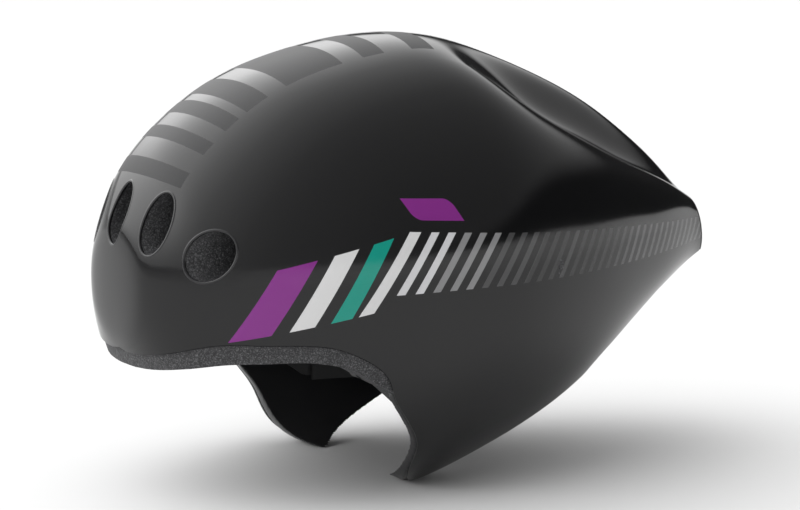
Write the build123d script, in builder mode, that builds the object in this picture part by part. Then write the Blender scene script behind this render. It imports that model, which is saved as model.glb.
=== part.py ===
"""Aero time trial helmet, in millimetres.

The origin is the centre of the head opening at brow level, +X points to the nose,
+Y to the wearer's left and +Z up.
"""
from build123d import *
import os
from math import asin, cos, degrees, pi, radians, sin, sqrt

os.makedirs("parts", exist_ok=True)

# Outer body: its reach, width and heights
front_reach = 140.5
rear_reach = 207.0
widest_back = 13.0
half_width = 98.5
crown_height = 154.5
waist_height = 20.0
keel_depth = 76.0
flap_drop = 67.0
tail_foot_height = 30.0
tail_face_height = 30.0
tail_face_lean = 6.5
overrun = 60.0

# Walls of the shell and of the ear flaps
shell_wall = 1.5
ear_wall = 4.5
ear_rear = 112.0

# Head cavity in the foam
cavity_half_length = 98.0
cavity_half_width = 79.0
cavity_height = 127.0
cavity_skirt = 110.0

# Vents through the nose: half sizes and centres
nose_vent_half_width = 8.4
nose_vent_half_height = 15.0
nose_vent_height = 72.0
brow_vent_half_width = 8.0
brow_vent_half_height = 14.8
brow_vent_out = 30.0
brow_vent_height = 69.6
temple_vent_half_width = 8.0
temple_vent_half_height = 12.1
temple_vent_out = 55.5
temple_vent_height = 56.0
vent_back = 36.0

# Air channels over the crown and the exhaust duct in the tail
channel_depth = 6.0
channel_width = 16.0
channel_spacing = 34.0
channel_front = 86.0
channel_rear = 92.0
channel_floor = 24.0
duct_width = 44.0
duct_height = 26.0
duct_corner = 8.0
duct_start = 82.0
duct_start_height = 62.0
duct_length = 140.0
duct_fall = 16.0

# Flat joints between the liner's mouldings
front_joint_place = 50.0
rear_joint_place = 72.0
crown_joint_height = 75.0
tail_joint_height = 56.0

# Clear space in the foam for the dial
relief_half_width = 20.0
relief_front = 90.0
relief_rear = 113.0
relief_height = 2.0
relief_depth = 60.0

# Pads
fit_gap = 0.3
brow_pad_thickness = 7.0
brow_pad_half_height = 13.0
brow_pad_height = 17.0
brow_pad_spread = 48.0
crown_pad_thickness = 6.5
crown_pad_half_length = 26.0
crown_pad_half_width = 15.0
crown_pad_front_place = 46.0
crown_pad_rear_place = 50.0
side_pad_thickness = 6.0
side_pad_half_length = 20.0
side_pad_half_height = 11.0
side_pad_height = 20.0
side_pad_place = 2.0
dot_radius = 7.0
dot_depth = 0.9

# Straps, laid flat against the foam
strap_width = 15.0
strap_gap = 0.6
strap_thickness = 1.2
strap_slot_gap = 0.2
anchor_radius = 6.5
anchor_depth = 2.5
front_anchor_place = 50.0
front_anchor_height = 15.0
rear_anchor_place = 54.0
rear_anchor_height = 11.0
strap_join_place = 6.0
strap_join_height = 50.0

# Strap dividers and their latches
divider_height = 58.0
divider_width = 24.0
divider_length = 26.0
divider_thickness = 3.2
divider_corner = 4.0
lower_slot_drop = 6.5
upper_slot_drop = 9.75
latch_width = 19.4
latch_length = 20.0
latch_thickness = 1.6
latch_corner = 1.6
latch_gap = 0.4
divider_clearance = 0.8
hinge_pin_radius = 0.8
hinge_clearance = 0.06
knuckle_radius = 1.7
hinge_rise = 10.5
ear_thickness = 2.0

# Chin straps and the buckle between them
chin_strap_foot = 73.0
chin_strap_end = 20.0
buckle_half_width = 11.0
buckle_reach = 30.0
buckle_split = 2.0
buckle_corner = 3.4
socket_floor = 114.7
plug_floor = 111.0
plug_plate = 3.4
plug_plate_reach = 16.0
post_radius = 3.5
post_height = 4.6
post_place = 7.0
post_clearance = 0.3
keeper_height = 88.0
keeper_width = 5.0
keeper_wall = 1.2
chin_pad_low = 84.0
chin_pad_high = 108.0
chin_pad_thickness = 3.0
chin_pad_half_width = 10.0

# Cradle round the back of the head
pivot_place = 26.0
pivot_height = 2.0
cradle_place = 20.0
cradle_radius = 72.0
cradle_wall = 2.0
cradle_height = -30.0
arm_width = 9.0
eyelet_radius = 5.5
pivot_radius = 2.5
pivot_clearance = 0.05
mount_length = 20.0
mount_height = 16.0
mount_thickness = 6.0
mount_corner = 4.0
mount_gap = 1.0
cap_radius = 4.5
cap_thickness = 1.2
cap_gap = 0.4
housing_half_angle = 22.0
housing_height = 26.0
housing_rim = 4.0
cover_wall = 1.6

# Fit bands with their racks, the dial and its pinion
band_gap = 0.3
band_wall = 1.8
band_height = 14.0
band_front_angle = 88.0
band_rear_angle = 25.0
rack_root_angle = 26.8
rack_overlap_angle = 10.5
pinion_radius = 4.4
pinion_root_radius = 3.4
pinion_teeth = 10
pinion_width = 1.5
rack_clearance = 0.15
rack_notch = 0.9
rack_notch_width = 1.1
rack_notches = 13
dial_radius = 14.0
dial_thickness = 9.0
dial_gap = 0.4
dial_grips = 12
dial_grip_radius = 2.2
dial_edge = 1.0
dial_dish_radius = 8.0
dial_dish_depth = 1.2
shaft_radius = 2.5
shaft_clearance = 0.05
spindle_radius = 1.5
boss_radius = 15.0
boss_rise = 0.6
spring_outer_radius = 10.0
spring_inner_radius = 7.0
spring_thickness = 0.8
spring_recess = 1.4
spring_margin = 0.5
clip_radius = 3.2
clip_thickness = 0.6
clip_gap = 0.1
screw_radius = 0.9
screw_head_radius = 1.8
screw_head_height = 1.0
screw_place = 16.0
screw_length = 5.0

# Nape pads on the fit bands
nape_pad_thickness = 4.0
nape_pad_half_height = 8.0
nape_pad_start_angle = 31.0
nape_pad_end_angle = 56.0
nape_pad_edge = 2.4

# Height hanger and its anchor in the foam
hanger_wall = 1.6
hanger_half_width = 7.0
hanger_top = 34.0
hanger_clearance = 0.3
hanger_anchor_half_width = 11.0
hanger_anchor_low = 16.0
hanger_anchor_high = 30.0
hanger_anchor_front = 86.0
hanger_anchor_rear = 99.0
hanger_anchor_corner = 3.0

# The body's sections from nose to tail. Each row gives the reach, the half width, the crown, the
# widest level, the keel, the roundness of the upper and of the lower curve, and the ridge's place,
# height and hump.
body_shares = [
    (1.000, 0.100, 0.337, 0.252, -0.355, 2.00, 2.30, 0.040, 0.0, 0.0),
    (0.994, 0.218, 0.395, 0.246, -0.224, 2.00, 2.30, 0.090, 0.0, 0.0),
    (0.977, 0.320, 0.456, 0.240, -0.079, 2.00, 2.30, 0.140, 0.0, 0.0),
    (0.943, 0.411, 0.524, 0.227, 0.105, 2.05, 2.30, 0.185, 0.0, 0.0),
    (0.886, 0.518, 0.621, 0.207, 0.316, 2.10, 2.30, 0.245, 0.0, 0.0),
    (0.797, 0.629, 0.712, 0.188, 0.526, 2.15, 2.40, 0.305, 0.0, 0.0),
    (0.662, 0.756, 0.806, 0.168, 0.724, 2.20, 2.60, 0.365, 0.0, 0.0),
    (0.477, 0.878, 0.896, 0.149, 0.868, 2.25, 2.85, 0.415, 0.0, 0.0),
    (0.249, 0.970, 0.961, 0.136, 0.961, 2.25, 3.05, 0.455, 0.0, 0.0),
    (0.000, 1.000, 1.000, 0.129, 1.000, 2.25, 2.50, 0.467, 0.0, 0.0),
    (-0.190, 0.990, 0.990, 0.142, 0.947, 2.25, 2.05, 0.467, 0.848, 0.3),
    (-0.360, 0.905, 0.924, 0.172, 0.763, 2.25, 2.15, 0.437, 0.753, 1.0),
    (-0.530, 0.765, 0.832, 0.204, 0.474, 2.25, 2.25, 0.376, 0.641, 1.0),
    (-0.680, 0.605, 0.727, 0.230, 0.158, 2.25, 2.30, 0.299, 0.553, 1.0),
    (-0.800, 0.460, 0.615, 0.249, -0.053, 2.25, 2.30, 0.228, 0.492, 1.0),
    (-0.900, 0.325, 0.502, 0.265, -0.197, 2.25, 2.30, 0.168, 0.434, 1.0),
    (-1.000, 0.195, 0.375, 0.278, -0.289, 2.25, 2.30, 0.112, 0.362, 1.0),
    (-1.035, 0.160, 0.345, 0.280, -0.310, 2.25, 2.30, 0.092, 0.335, 1.0),
]

# Lower edge of the shell from the nose to the flap's tip, and on to the tail. The first number is a
# share of the distance from the head's centre to the nose or tail, the second of the flap's drop.
brow_line_shares = [
    (1.25, 0.03), (1.0, 0.03), (0.94, 0.09), (0.844, 0.171), (0.756, 0.201), (0.649, 0.198),
    (0.556, 0.197), (0.458, 0.187), (0.383, 0.156), (0.304, 0.087), (0.25, 0.024), (0.194, -0.105),
    (0.178, -0.2), (0.152, -0.29), (0.105, -0.415), (0.068, -0.515), (0.04, -0.62), (0.029, -0.74),
    (0.012, -0.87), (-0.03, -0.985),
]
flap_line_shares = [
    (-0.045, -1.0), (-0.064, -0.99), (-0.145, -0.87), (-0.273, -0.69), (-0.40, -0.48),
    (-0.491, -0.32), (-0.514, -0.24), (-0.545, -0.164), (-0.627, -0.015), (-0.764, 0.209),
]

# Lower edge of the foam, in the same shares
foam_brow_shares = [
    (1.25, -0.115), (1.0, -0.115), (0.925, -0.035), (0.841, 0.018), (0.78, 0.046), (0.618, 0.068),
    (0.508, 0.073), (0.407, 0.049), (0.328, 0.001), (0.282, -0.051), (0.194, -0.151),
]
foam_nape_shares = [
    (0.08, -0.36), (-0.14, -0.39), (-0.32, -0.40), (-0.445, -0.33), (-0.51, -0.165),
    (-0.545, -0.075), (-0.627, 0.075), (-0.764, 0.30), (-0.93, 0.53),
]
slope_step_share = 0.001

nose_reach = front_reach - widest_back
tail_reach = rear_reach + widest_back


def drawn_in(height, inset):
    """A height of the body, drawn towards the waist by the inset."""
    span = crown_height - waist_height if height > waist_height else keel_depth + waist_height
    return waist_height + (height - waist_height) * (span - inset) / span


def section_sizes(row, inset):
    """Place and sizes of one section of the body."""
    reach, width, crown, widest, keel, power, lower_power, ridge_out, ridge_up, hump = row
    length = front_reach if reach > 0 else rear_reach
    wide = half_width - inset
    return {
        "x": reach * (length - inset) - widest_back,
        "width": width * wide,
        "crown": drawn_in(crown * crown_height, inset),
        "widest": drawn_in(widest * crown_height, inset),
        "keel": drawn_in(-keel * keel_depth, inset),
        "power": power,
        "lower_power": lower_power,
        "ridge_out": ridge_out * wide,
        "ridge_up": drawn_in(ridge_up * crown_height, inset),
        "hump": hump,
    }


def round_upper(size, angle):
    """Point of the plain round upper curve, from the crown at 0 to the side at a quarter turn."""
    power = 2 / size["power"]
    rise = size["crown"] - size["widest"]
    return (
        size["width"] * max(sin(angle), 0) ** power,
        size["widest"] + rise * max(cos(angle), 0) ** power,
    )


def ridge_angle(size):
    """Angle at which the round upper curve passes the ridge."""
    return asin((size["ridge_out"] / size["width"]) ** (size["power"] / 2))


def mixed(near, far, share):
    """A point between two points."""
    return tuple(a * (1 - share) + b * share for a, b in zip(near, far))


def dome_point(size, share):
    """Upper curve between the spine and the ridge."""
    plain = round_upper(size, ridge_angle(size) * share)
    drop = (size["ridge_up"] - size["crown"]) * (1 - cos(pi * share)) / 2
    return mixed(plain, (size["ridge_out"] * share, size["crown"] + drop), size["hump"])


def flank_point(size, share):
    """Upper curve between the ridge and the widest level."""
    start = ridge_angle(size)
    plain = round_upper(size, start + (pi / 2 - start) * share)
    turn = pi / 2 * share
    humped = (
        size["ridge_out"] + (size["width"] - size["ridge_out"]) * sin(turn),
        size["widest"] + (size["ridge_up"] - size["widest"]) * cos(turn),
    )
    return mixed(plain, humped, size["hump"])


def keel_point(size, share):
    """Lower curve between the widest level and the keel."""
    turn = pi / 2 * share
    power = 2 / size["lower_power"]
    depth = size["widest"] - size["keel"]
    return (
        size["width"] * max(cos(turn), 0) ** power,
        size["widest"] - depth * max(sin(turn), 0) ** power,
    )


def slope(curve, size, share):
    """Direction of a curve near one of its ends."""
    low = max(share - slope_step_share, 0)
    high = min(share + slope_step_share, 1)
    (y0, z0), (y1, z1) = curve(size, low), curve(size, high)
    return (y1 - y0, z1 - z0)


def curve_points(curve, size, steps):
    """Evenly spaced points of one curve."""
    return [curve(size, i / steps) for i in range(steps + 1)]


def body_form(inset):
    """The whole outer body as one solid, drawn in on all sides by the inset."""
    with BuildPart() as form:
        for row in body_shares:
            size = section_sizes(row, inset)
            with BuildSketch(Plane.YZ.offset(size["x"])):
                with BuildLine():
                    dome_end = slope(dome_point, size, 1)
                    flank_start = slope(flank_point, size, 0)
                    Spline(curve_points(dome_point, size, 4), tangents=[(1, 0), dome_end])
                    Spline(curve_points(flank_point, size, 6), tangents=[flank_start, (0, -1)])
                    Spline(curve_points(keel_point, size, 6), tangents=[(0, -1), (-1, 0)])
                    mirror(about=Plane.YZ)
                make_face()
        loft()
        with BuildSketch(Plane.XZ):
            with BuildLine():
                foot = (inset - tail_reach, tail_foot_height)
                lean = tail_face_lean / tail_face_height
                top = crown_height + overrun - tail_foot_height
                low = keel_depth + overrun + tail_foot_height
                Polyline(
                    (foot[0] - lean * low, -keel_depth - overrun),
                    (foot[0] + lean * top, crown_height + overrun),
                    (nose_reach + overrun, crown_height + overrun),
                    (nose_reach + overrun, -keel_depth - overrun),
                    close=True,
                )
            make_face()
        extrude(amount=half_width + overrun, both=True, mode=Mode.INTERSECT)
    return form.part


def head_form(inset):
    """The head cavity as one solid: a dome over a straight skirt, drawn in by the inset."""
    length = cavity_half_length - inset
    width = cavity_half_width - inset
    with BuildPart() as form:
        Sphere(width)
        scale(by=(length / width, 1, (cavity_height - inset) / width))
        with BuildSketch(Plane.XY):
            Ellipse(length, width)
        extrude(amount=-cavity_skirt)
    return form.part


def placed(point):
    """A point of an edge line in the side view."""
    reach = nose_reach if point[0] > 0 else tail_reach
    return (point[0] * reach, point[1] * flap_drop)


def shell_slab():
    """Everything above the shell's lower edge, cut from the side."""
    brow = [placed(point) for point in brow_line_shares]
    flap = [placed(point) for point in flap_line_shares]
    tail = (-tail_reach - shell_wall, tail_foot_height)
    with BuildPart() as slab:
        with BuildSketch(Plane.XZ):
            with BuildLine():
                Spline(brow)
                Polyline(
                    brow[-1], *flap, tail,
                    (tail[0] - overrun, crown_height + overrun),
                    (brow[0][0], crown_height + overrun),
                    brow[0],
                )
            make_face()
        extrude(amount=half_width + overrun, both=True)
    return slab.part


def foam_slab():
    """Everything above the foam's lower edge, cut from the side."""
    brow = [placed(point) for point in foam_brow_shares]
    nape = [placed(point) for point in foam_nape_shares]
    with BuildPart() as slab:
        with BuildSketch(Plane.XZ):
            with BuildLine():
                Spline(brow)
                Polyline(
                    brow[-1], *nape,
                    (nape[-1][0], crown_height + overrun),
                    (brow[0][0], crown_height + overrun),
                    brow[0],
                )
            make_face()
        extrude(amount=half_width + overrun, both=True)
    return slab.part


def wall_normal(x, y, z):
    """Direction out of the cavity wall at a point of its dome."""
    return Vector(
        x / cavity_half_length ** 2, y / cavity_half_width ** 2, z / cavity_height ** 2
    ).normalized()


def wall_y(x, z):
    """Half width of the cavity at a place and height."""
    across = 1 - (x / cavity_half_length) ** 2 - (z / cavity_height) ** 2
    return cavity_half_width * sqrt(across)


def wall_z(x, y):
    """Height of the cavity's dome over a place."""
    across = 1 - (x / cavity_half_length) ** 2 - (y / cavity_half_width) ** 2
    return cavity_height * sqrt(across)


def level_plane(y):
    """Side view plane at a distance to the wearer's left, facing right."""
    return Plane(origin=(0, y, 0), x_dir=(1, 0, 0), z_dir=(0, -1, 0))


def rear_plane(x):
    """Plane across the helmet at a distance behind the origin, facing back."""
    return Plane(origin=(-x, 0, 0), x_dir=(0, -1, 0), z_dir=(-1, 0, 0))


def arc_sector(plane, inner, outer, start, end):
    """Face of a ring sector round the cradle's centre, its angles measured from the rear."""
    with BuildSketch(plane) as sector:
        with BuildLine():
            first = CenterArc((-cradle_place, 0), outer, 180 - end, end - start)
            second = CenterArc((-cradle_place, 0), inner, 180 - end, end - start)
            Line(first @ 0, second @ 0)
            Line(first @ 1, second @ 1)
        make_face()
    return sector.sketch


# Vents: their half width, half height, distance out and height
vents = [(nose_vent_half_width, nose_vent_half_height, 0, nose_vent_height)]
for side in (1, -1):
    vents.append(
        (brow_vent_half_width, brow_vent_half_height, side * brow_vent_out, brow_vent_height)
    )
    vents.append(
        (temple_vent_half_width, temple_vent_half_height, side * temple_vent_out, temple_vent_height)
    )

with BuildPart() as vent_tool:
    for vent_half_width, vent_half_height, out, height in vents:
        with BuildSketch(Plane.YZ.offset(vent_back)):
            with Locations((out, height)):
                Ellipse(vent_half_width, vent_half_height)
        extrude(amount=nose_reach + overrun - vent_back)

outer_form = body_form(0)
inner_form = body_form(shell_wall)
ear_form = body_form(shell_wall + ear_wall)
shell_region = shell_slab()
foam_region = foam_slab()
cavity = head_form(0)

# Outer shell with its ear flaps
with BuildPart() as outer_shell:
    add(outer_form)
    add(inner_form, mode=Mode.SUBTRACT)
    add(shell_region, mode=Mode.INTERSECT)
    add(vent_tool.part, mode=Mode.SUBTRACT)
outer_shell.part.label = "outer_shell"

# Places of the pads on the cavity wall
crown_front = (crown_pad_front_place, 0, wall_z(crown_pad_front_place, 0))
crown_rear = (-crown_pad_rear_place, 0, wall_z(-crown_pad_rear_place, 0))
side_wall = wall_y(-side_pad_place, side_pad_height)

# Hook dots under the pads, let into the foam
with BuildPart() as pad_dots:
    for x in (crown_pad_front_place, -crown_pad_rear_place):
        with BuildSketch(Plane.XY.offset(waist_height)):
            with Locations((x, 0)):
                Circle(dot_radius)
        extrude(amount=crown_height)
    with BuildSketch(Plane.XZ):
        with Locations((-side_pad_place, side_pad_height)):
            Circle(dot_radius)
    extrude(amount=cavity_half_width + overrun, both=True)
    with BuildSketch(Plane.YZ):
        with Locations((0, brow_pad_height)):
            Circle(dot_radius)
    extrude(amount=cavity_half_length + overrun)
    add(head_form(-dot_depth), mode=Mode.INTERSECT)
    add(cavity, mode=Mode.SUBTRACT)
pad_dots.part.label = "pad_dots"

# Strap anchors, let into the foam
anchor_places = [
    (front_anchor_place, front_anchor_height),
    (-rear_anchor_place, rear_anchor_height),
]
with BuildPart() as strap_anchors:
    with BuildSketch(Plane.XZ):
        with Locations(*anchor_places):
            Circle(anchor_radius)
    extrude(amount=cavity_half_width + overrun, both=True)
    add(head_form(-anchor_depth), mode=Mode.INTERSECT)
    add(cavity, mode=Mode.SUBTRACT)
strap_anchors.part.label = "strap_anchors"

# Temple mounts that carry the cradle
arm_outside = cradle_radius
arm_inside = cradle_radius - cradle_wall
mount_inside = arm_outside + mount_gap
pin_end = arm_inside - cap_gap - cap_thickness


def temple_mount(side):
    """Plate let into the foam at one temple, with the pin that the cradle turns on."""
    with BuildPart() as mount:
        plate_face = mount_inside + (mount_thickness if side > 0 else 0)
        with BuildSketch(level_plane(side * plate_face)):
            with Locations((pivot_place, pivot_height)):
                RectangleRounded(mount_length, mount_height, mount_corner)
        extrude(amount=mount_thickness)
        pin_face = mount_inside if side > 0 else -pin_end
        with BuildSketch(level_plane(pin_face)):
            with Locations((pivot_place, pivot_height)):
                Circle(pivot_radius)
        extrude(amount=mount_inside - pin_end)
    return mount


temple_mount_left = temple_mount(1)
temple_mount_left.part.label = "temple_mount_left"
temple_mount_right = temple_mount(-1)
temple_mount_right.part.label = "temple_mount_right"

with BuildPart() as temple_caps:
    for cap_face in (pin_end + cap_thickness, -pin_end):
        with BuildSketch(level_plane(cap_face)):
            with Locations((pivot_place, pivot_height)):
                Circle(cap_radius)
                Circle(pivot_radius, mode=Mode.SUBTRACT)
        extrude(amount=cap_thickness)
temple_caps.part.label = "temple_caps"

# Radius of the hanger round the temple pins
rear_face = cradle_place + cradle_radius
housing_low = cradle_height - housing_height / 2
housing_high = cradle_height + housing_height / 2
hanger_reach = rear_face - cradle_wall / 2 + pivot_place
hanger_radius = sqrt(hanger_reach ** 2 + (pivot_height - housing_high) ** 2)


def hanger_sector(inner, outer, low, high):
    """Face of a ring sector round the temple pins, between two heights."""
    start = 180 + degrees(asin((pivot_height - low) / inner))
    end = 180 + degrees(asin((pivot_height - high) / inner))
    with BuildSketch(Plane.XZ) as sector:
        with BuildLine():
            first = CenterArc((pivot_place, pivot_height), outer, start, end - start)
            second = CenterArc((pivot_place, pivot_height), inner, start, end - start)
            Line(first @ 0, second @ 0)
            Line(first @ 1, second @ 1)
        make_face()
    return sector.sketch


hanger_inner = hanger_radius - hanger_wall / 2
hanger_outer = hanger_radius + hanger_wall / 2

with BuildPart() as hanger_anchor:
    with BuildSketch(Plane.XY.offset(hanger_anchor_low)):
        with Locations((-(hanger_anchor_front + hanger_anchor_rear) / 2, 0)):
            RectangleRounded(
                hanger_anchor_rear - hanger_anchor_front, hanger_anchor_half_width * 2,
                hanger_anchor_corner,
            )
    extrude(amount=hanger_anchor_high - hanger_anchor_low)
    slot = hanger_sector(
        hanger_inner - hanger_clearance, hanger_outer + hanger_clearance,
        hanger_anchor_low - overrun / 2, hanger_anchor_high + overrun / 2,
    )
    extrude(slot, amount=hanger_half_width + hanger_clearance, both=True, mode=Mode.SUBTRACT)
hanger_anchor.part.label = "hanger_anchor"

# Foam liner, before it is parted
with BuildPart() as foam_liner:
    add(inner_form)
    add(foam_region, mode=Mode.INTERSECT)
    add(cavity, mode=Mode.SUBTRACT)
    add(vent_tool.part, mode=Mode.SUBTRACT)
    with BuildPart(mode=Mode.PRIVATE) as channels:
        for place in (-channel_spacing, 0, channel_spacing):
            with BuildSketch(Plane.XY.offset(channel_floor)):
                with Locations(((channel_front - channel_rear) / 2, place)):
                    Rectangle(channel_front + channel_rear, channel_width)
            extrude(amount=crown_height)
        add(head_form(-channel_depth), mode=Mode.INTERSECT)
    add(channels.part, mode=Mode.SUBTRACT)
    duct_plane = Plane(
        origin=(-duct_start, 0, duct_start_height), x_dir=(0, 1, 0),
        z_dir=(-cos(radians(duct_fall)), 0, -sin(radians(duct_fall))),
    )
    with BuildSketch(duct_plane):
        RectangleRounded(duct_width, duct_height, duct_corner)
    extrude(amount=duct_length, mode=Mode.SUBTRACT)
    with BuildSketch(Plane.XY.offset(relief_height)):
        with Locations((-(relief_front + relief_rear) / 2, 0)):
            Rectangle(relief_rear - relief_front, relief_half_width * 2)
    extrude(amount=-relief_depth, mode=Mode.SUBTRACT)
    for let_in in (pad_dots, strap_anchors, temple_mount_left, temple_mount_right):
        add(let_in.part, mode=Mode.SUBTRACT)
    with BuildSketch(Plane.XY.offset(hanger_anchor_low)):
        with Locations((-(hanger_anchor_front + hanger_anchor_rear) / 2, 0)):
            RectangleRounded(
                hanger_anchor_rear - hanger_anchor_front, hanger_anchor_half_width * 2,
                hanger_anchor_corner,
            )
    extrude(amount=hanger_anchor_high - hanger_anchor_low, mode=Mode.SUBTRACT)

# Mouldings of the liner, which meet at flat joints
front_joint = Plane.YZ.offset(front_joint_place)
rear_joint = -Plane.YZ.offset(-rear_joint_place)
crown_joint = Plane.XY.offset(crown_joint_height)
tail_joint = Plane.XY.offset(tail_joint_height)
right_of_middle = Plane.XZ
left_of_middle = -right_of_middle


def liner_moulding(label, *joints):
    """The foam on the outer side of each joint."""
    with BuildPart() as moulding:
        add(foam_liner.part)
        for joint in joints:
            split(bisect_by=joint, keep=Keep.TOP)
    moulding.part.label = label
    return moulding


foam_front_left = liner_moulding("foam_front_left", front_joint, left_of_middle)
foam_front_right = liner_moulding("foam_front_right", front_joint, right_of_middle)
foam_crown = liner_moulding("foam_crown", -front_joint, -rear_joint, crown_joint)
foam_side_left = liner_moulding(
    "foam_side_left", -front_joint, -rear_joint, -crown_joint, left_of_middle
)
foam_side_right = liner_moulding(
    "foam_side_right", -front_joint, -rear_joint, -crown_joint, right_of_middle
)
foam_tail_upper = liner_moulding("foam_tail_upper", rear_joint, tail_joint)
foam_tail_lower = liner_moulding("foam_tail_lower", rear_joint, -tail_joint)

# Inner panels of the ear flaps
with BuildPart() as ear_panels:
    add(inner_form)
    add(ear_form, mode=Mode.SUBTRACT)
    add(shell_region, mode=Mode.INTERSECT)
    add(foam_region, mode=Mode.SUBTRACT)
    with BuildSketch(Plane.XZ):
        with Locations(((nose_reach - ear_rear) / 2, 0)):
            Rectangle(nose_reach + ear_rear, (flap_drop + overrun) * 2)
    extrude(amount=half_width + overrun, both=True, mode=Mode.INTERSECT)

with BuildPart() as ear_panel_left:
    add(ear_panels.part)
    split(bisect_by=Plane.XZ, keep=Keep.BOTTOM)
ear_panel_left.part.label = "ear_panel_left"

with BuildPart() as ear_panel_right:
    add(ear_panels.part)
    split(bisect_by=Plane.XZ, keep=Keep.TOP)
ear_panel_right.part.label = "ear_panel_right"

# Brow pad: a crowned roll along the front of the cavity
pad_form = head_form(fit_gap)
with BuildPart() as brow_pad:
    with BuildLine(Plane.XY.offset(brow_pad_height)) as brow_path:
        EllipticalCenterArc(
            (0, 0), cavity_half_length, cavity_half_width,
            start_angle=-brow_pad_spread, arc_size=brow_pad_spread * 2,
        )
    with BuildSketch(Plane(brow_path.line @ 0, z_dir=brow_path.line % 0, x_dir=(0, 0, 1))):
        Ellipse(brow_pad_half_height, brow_pad_thickness)
    sweep(path=brow_path.line)
    add(pad_form, mode=Mode.INTERSECT)
brow_pad.part.label = "brow_pad"


def wall_pad(centre, half_length, half_across, thickness):
    """Crowned pad on the cavity wall, thin towards its edge."""
    outward = wall_normal(*centre)
    with BuildPart() as blob:
        Sphere(half_across)
        scale(by=(half_length / half_across, 1, thickness / half_across))
    with BuildPart() as pad:
        along = Vector(1, 0, 0) - outward * outward.X
        with Locations(Plane(origin=centre, x_dir=along, z_dir=outward)):
            add(blob.part)
        add(pad_form, mode=Mode.INTERSECT)
    return pad


crown_pad_front = wall_pad(
    crown_front, crown_pad_half_length, crown_pad_half_width, crown_pad_thickness
)
crown_pad_front.part.label = "crown_pad_front"
crown_pad_rear = wall_pad(
    crown_rear, crown_pad_half_length, crown_pad_half_width, crown_pad_thickness
)
crown_pad_rear.part.label = "crown_pad_rear"
side_pad_left = wall_pad(
    (-side_pad_place, side_wall, side_pad_height),
    side_pad_half_length, side_pad_half_height, side_pad_thickness,
)
side_pad_left.part.label = "side_pad_left"
side_pad_right = wall_pad(
    (-side_pad_place, -side_wall, side_pad_height),
    side_pad_half_length, side_pad_half_height, side_pad_thickness,
)
side_pad_right.part.label = "side_pad_right"

# Webbing straps, laid flat along the cavity wall
strap_outside = head_form(strap_gap)
strap_inside = head_form(strap_gap + strap_thickness)


def side_strap(side, anchor):
    """Strap from an anchor up to the divider on one side."""
    join = (strap_join_place if anchor[0] > 0 else -strap_join_place, strap_join_height)
    along = Vector(*join) - Vector(*anchor)
    middle = (Vector(*join) + Vector(*anchor)) / 2
    tilt = degrees(asin(along.Y / along.length))
    with BuildPart() as strap:
        with BuildSketch(level_plane(cavity_half_width if side > 0 else 0)):
            with Locations((middle.X, middle.Y)):
                Rectangle(along.length, strap_width, rotation=tilt if along.X > 0 else -tilt)
        extrude(amount=cavity_half_width)
        add(strap_outside, mode=Mode.INTERSECT)
        add(strap_inside, mode=Mode.SUBTRACT)
    return strap


front_strap_left = side_strap(1, anchor_places[0])
front_strap_left.part.label = "front_strap_left"
front_strap_right = side_strap(-1, anchor_places[0])
front_strap_right.part.label = "front_strap_right"
rear_strap_left = side_strap(1, anchor_places[1])
rear_strap_left.part.label = "rear_strap_left"
rear_strap_right = side_strap(-1, anchor_places[1])
rear_strap_right.part.label = "rear_strap_right"


def chin_strap(side):
    """Strap from the divider up to the buckle under the crown."""
    middle = (chin_strap_end + cavity_half_width) / 2
    with BuildPart() as strap:
        with BuildSketch(Plane.XY.offset(chin_strap_foot)):
            with Locations((0, side * middle)):
                Rectangle(strap_width, cavity_half_width - chin_strap_end)
        extrude(amount=cavity_height)
        add(strap_outside, mode=Mode.INTERSECT)
        add(strap_inside, mode=Mode.SUBTRACT)
    return strap


chin_strap_left = chin_strap(1)
chin_strap_left.part.label = "chin_strap_left"
chin_strap_right = chin_strap(-1)
chin_strap_right.part.label = "chin_strap_right"

# Dividers with their latches
divider_wall = wall_y(0, divider_height)
divider_back = strap_gap + strap_thickness + fit_gap + divider_clearance
divider_face = divider_back + divider_thickness
hinge_out = divider_face + latch_gap + knuckle_radius


def divider_plane(side, depth):
    """Plane along the cavity wall at a divider, at a depth into the cavity."""
    outward = wall_normal(0, side * divider_wall, divider_height)
    return Plane(
        origin=Vector(0, side * divider_wall, divider_height) - outward * depth,
        x_dir=(side, 0, 0), z_dir=outward * -1,
    )


def strap_divider(side):
    """Divider plate with two strap slots, two ears and the latch's pin."""
    with BuildPart() as divider:
        with BuildSketch(divider_plane(side, divider_back)):
            RectangleRounded(divider_width, divider_length, divider_corner)
            with Locations((0, -lower_slot_drop), (0, -upper_slot_drop)):
                SlotOverall(strap_width, strap_thickness, mode=Mode.SUBTRACT)
        extrude(amount=divider_thickness)
        with BuildSketch(divider_plane(side, divider_face)):
            ear_place = divider_width / 2 - ear_thickness / 2
            with Locations((ear_place, hinge_rise), (-ear_place, hinge_rise)):
                Rectangle(ear_thickness, knuckle_radius * 2)
        extrude(amount=latch_gap + knuckle_radius * 2)
        pin_plane = divider_plane(side, hinge_out)
        pin_start = pin_plane.from_local_coords((-divider_width / 2, hinge_rise, 0))
        with BuildSketch(Plane(origin=pin_start, z_dir=pin_plane.x_dir)):
            Circle(hinge_pin_radius)
        extrude(amount=divider_width)
    return divider


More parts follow.
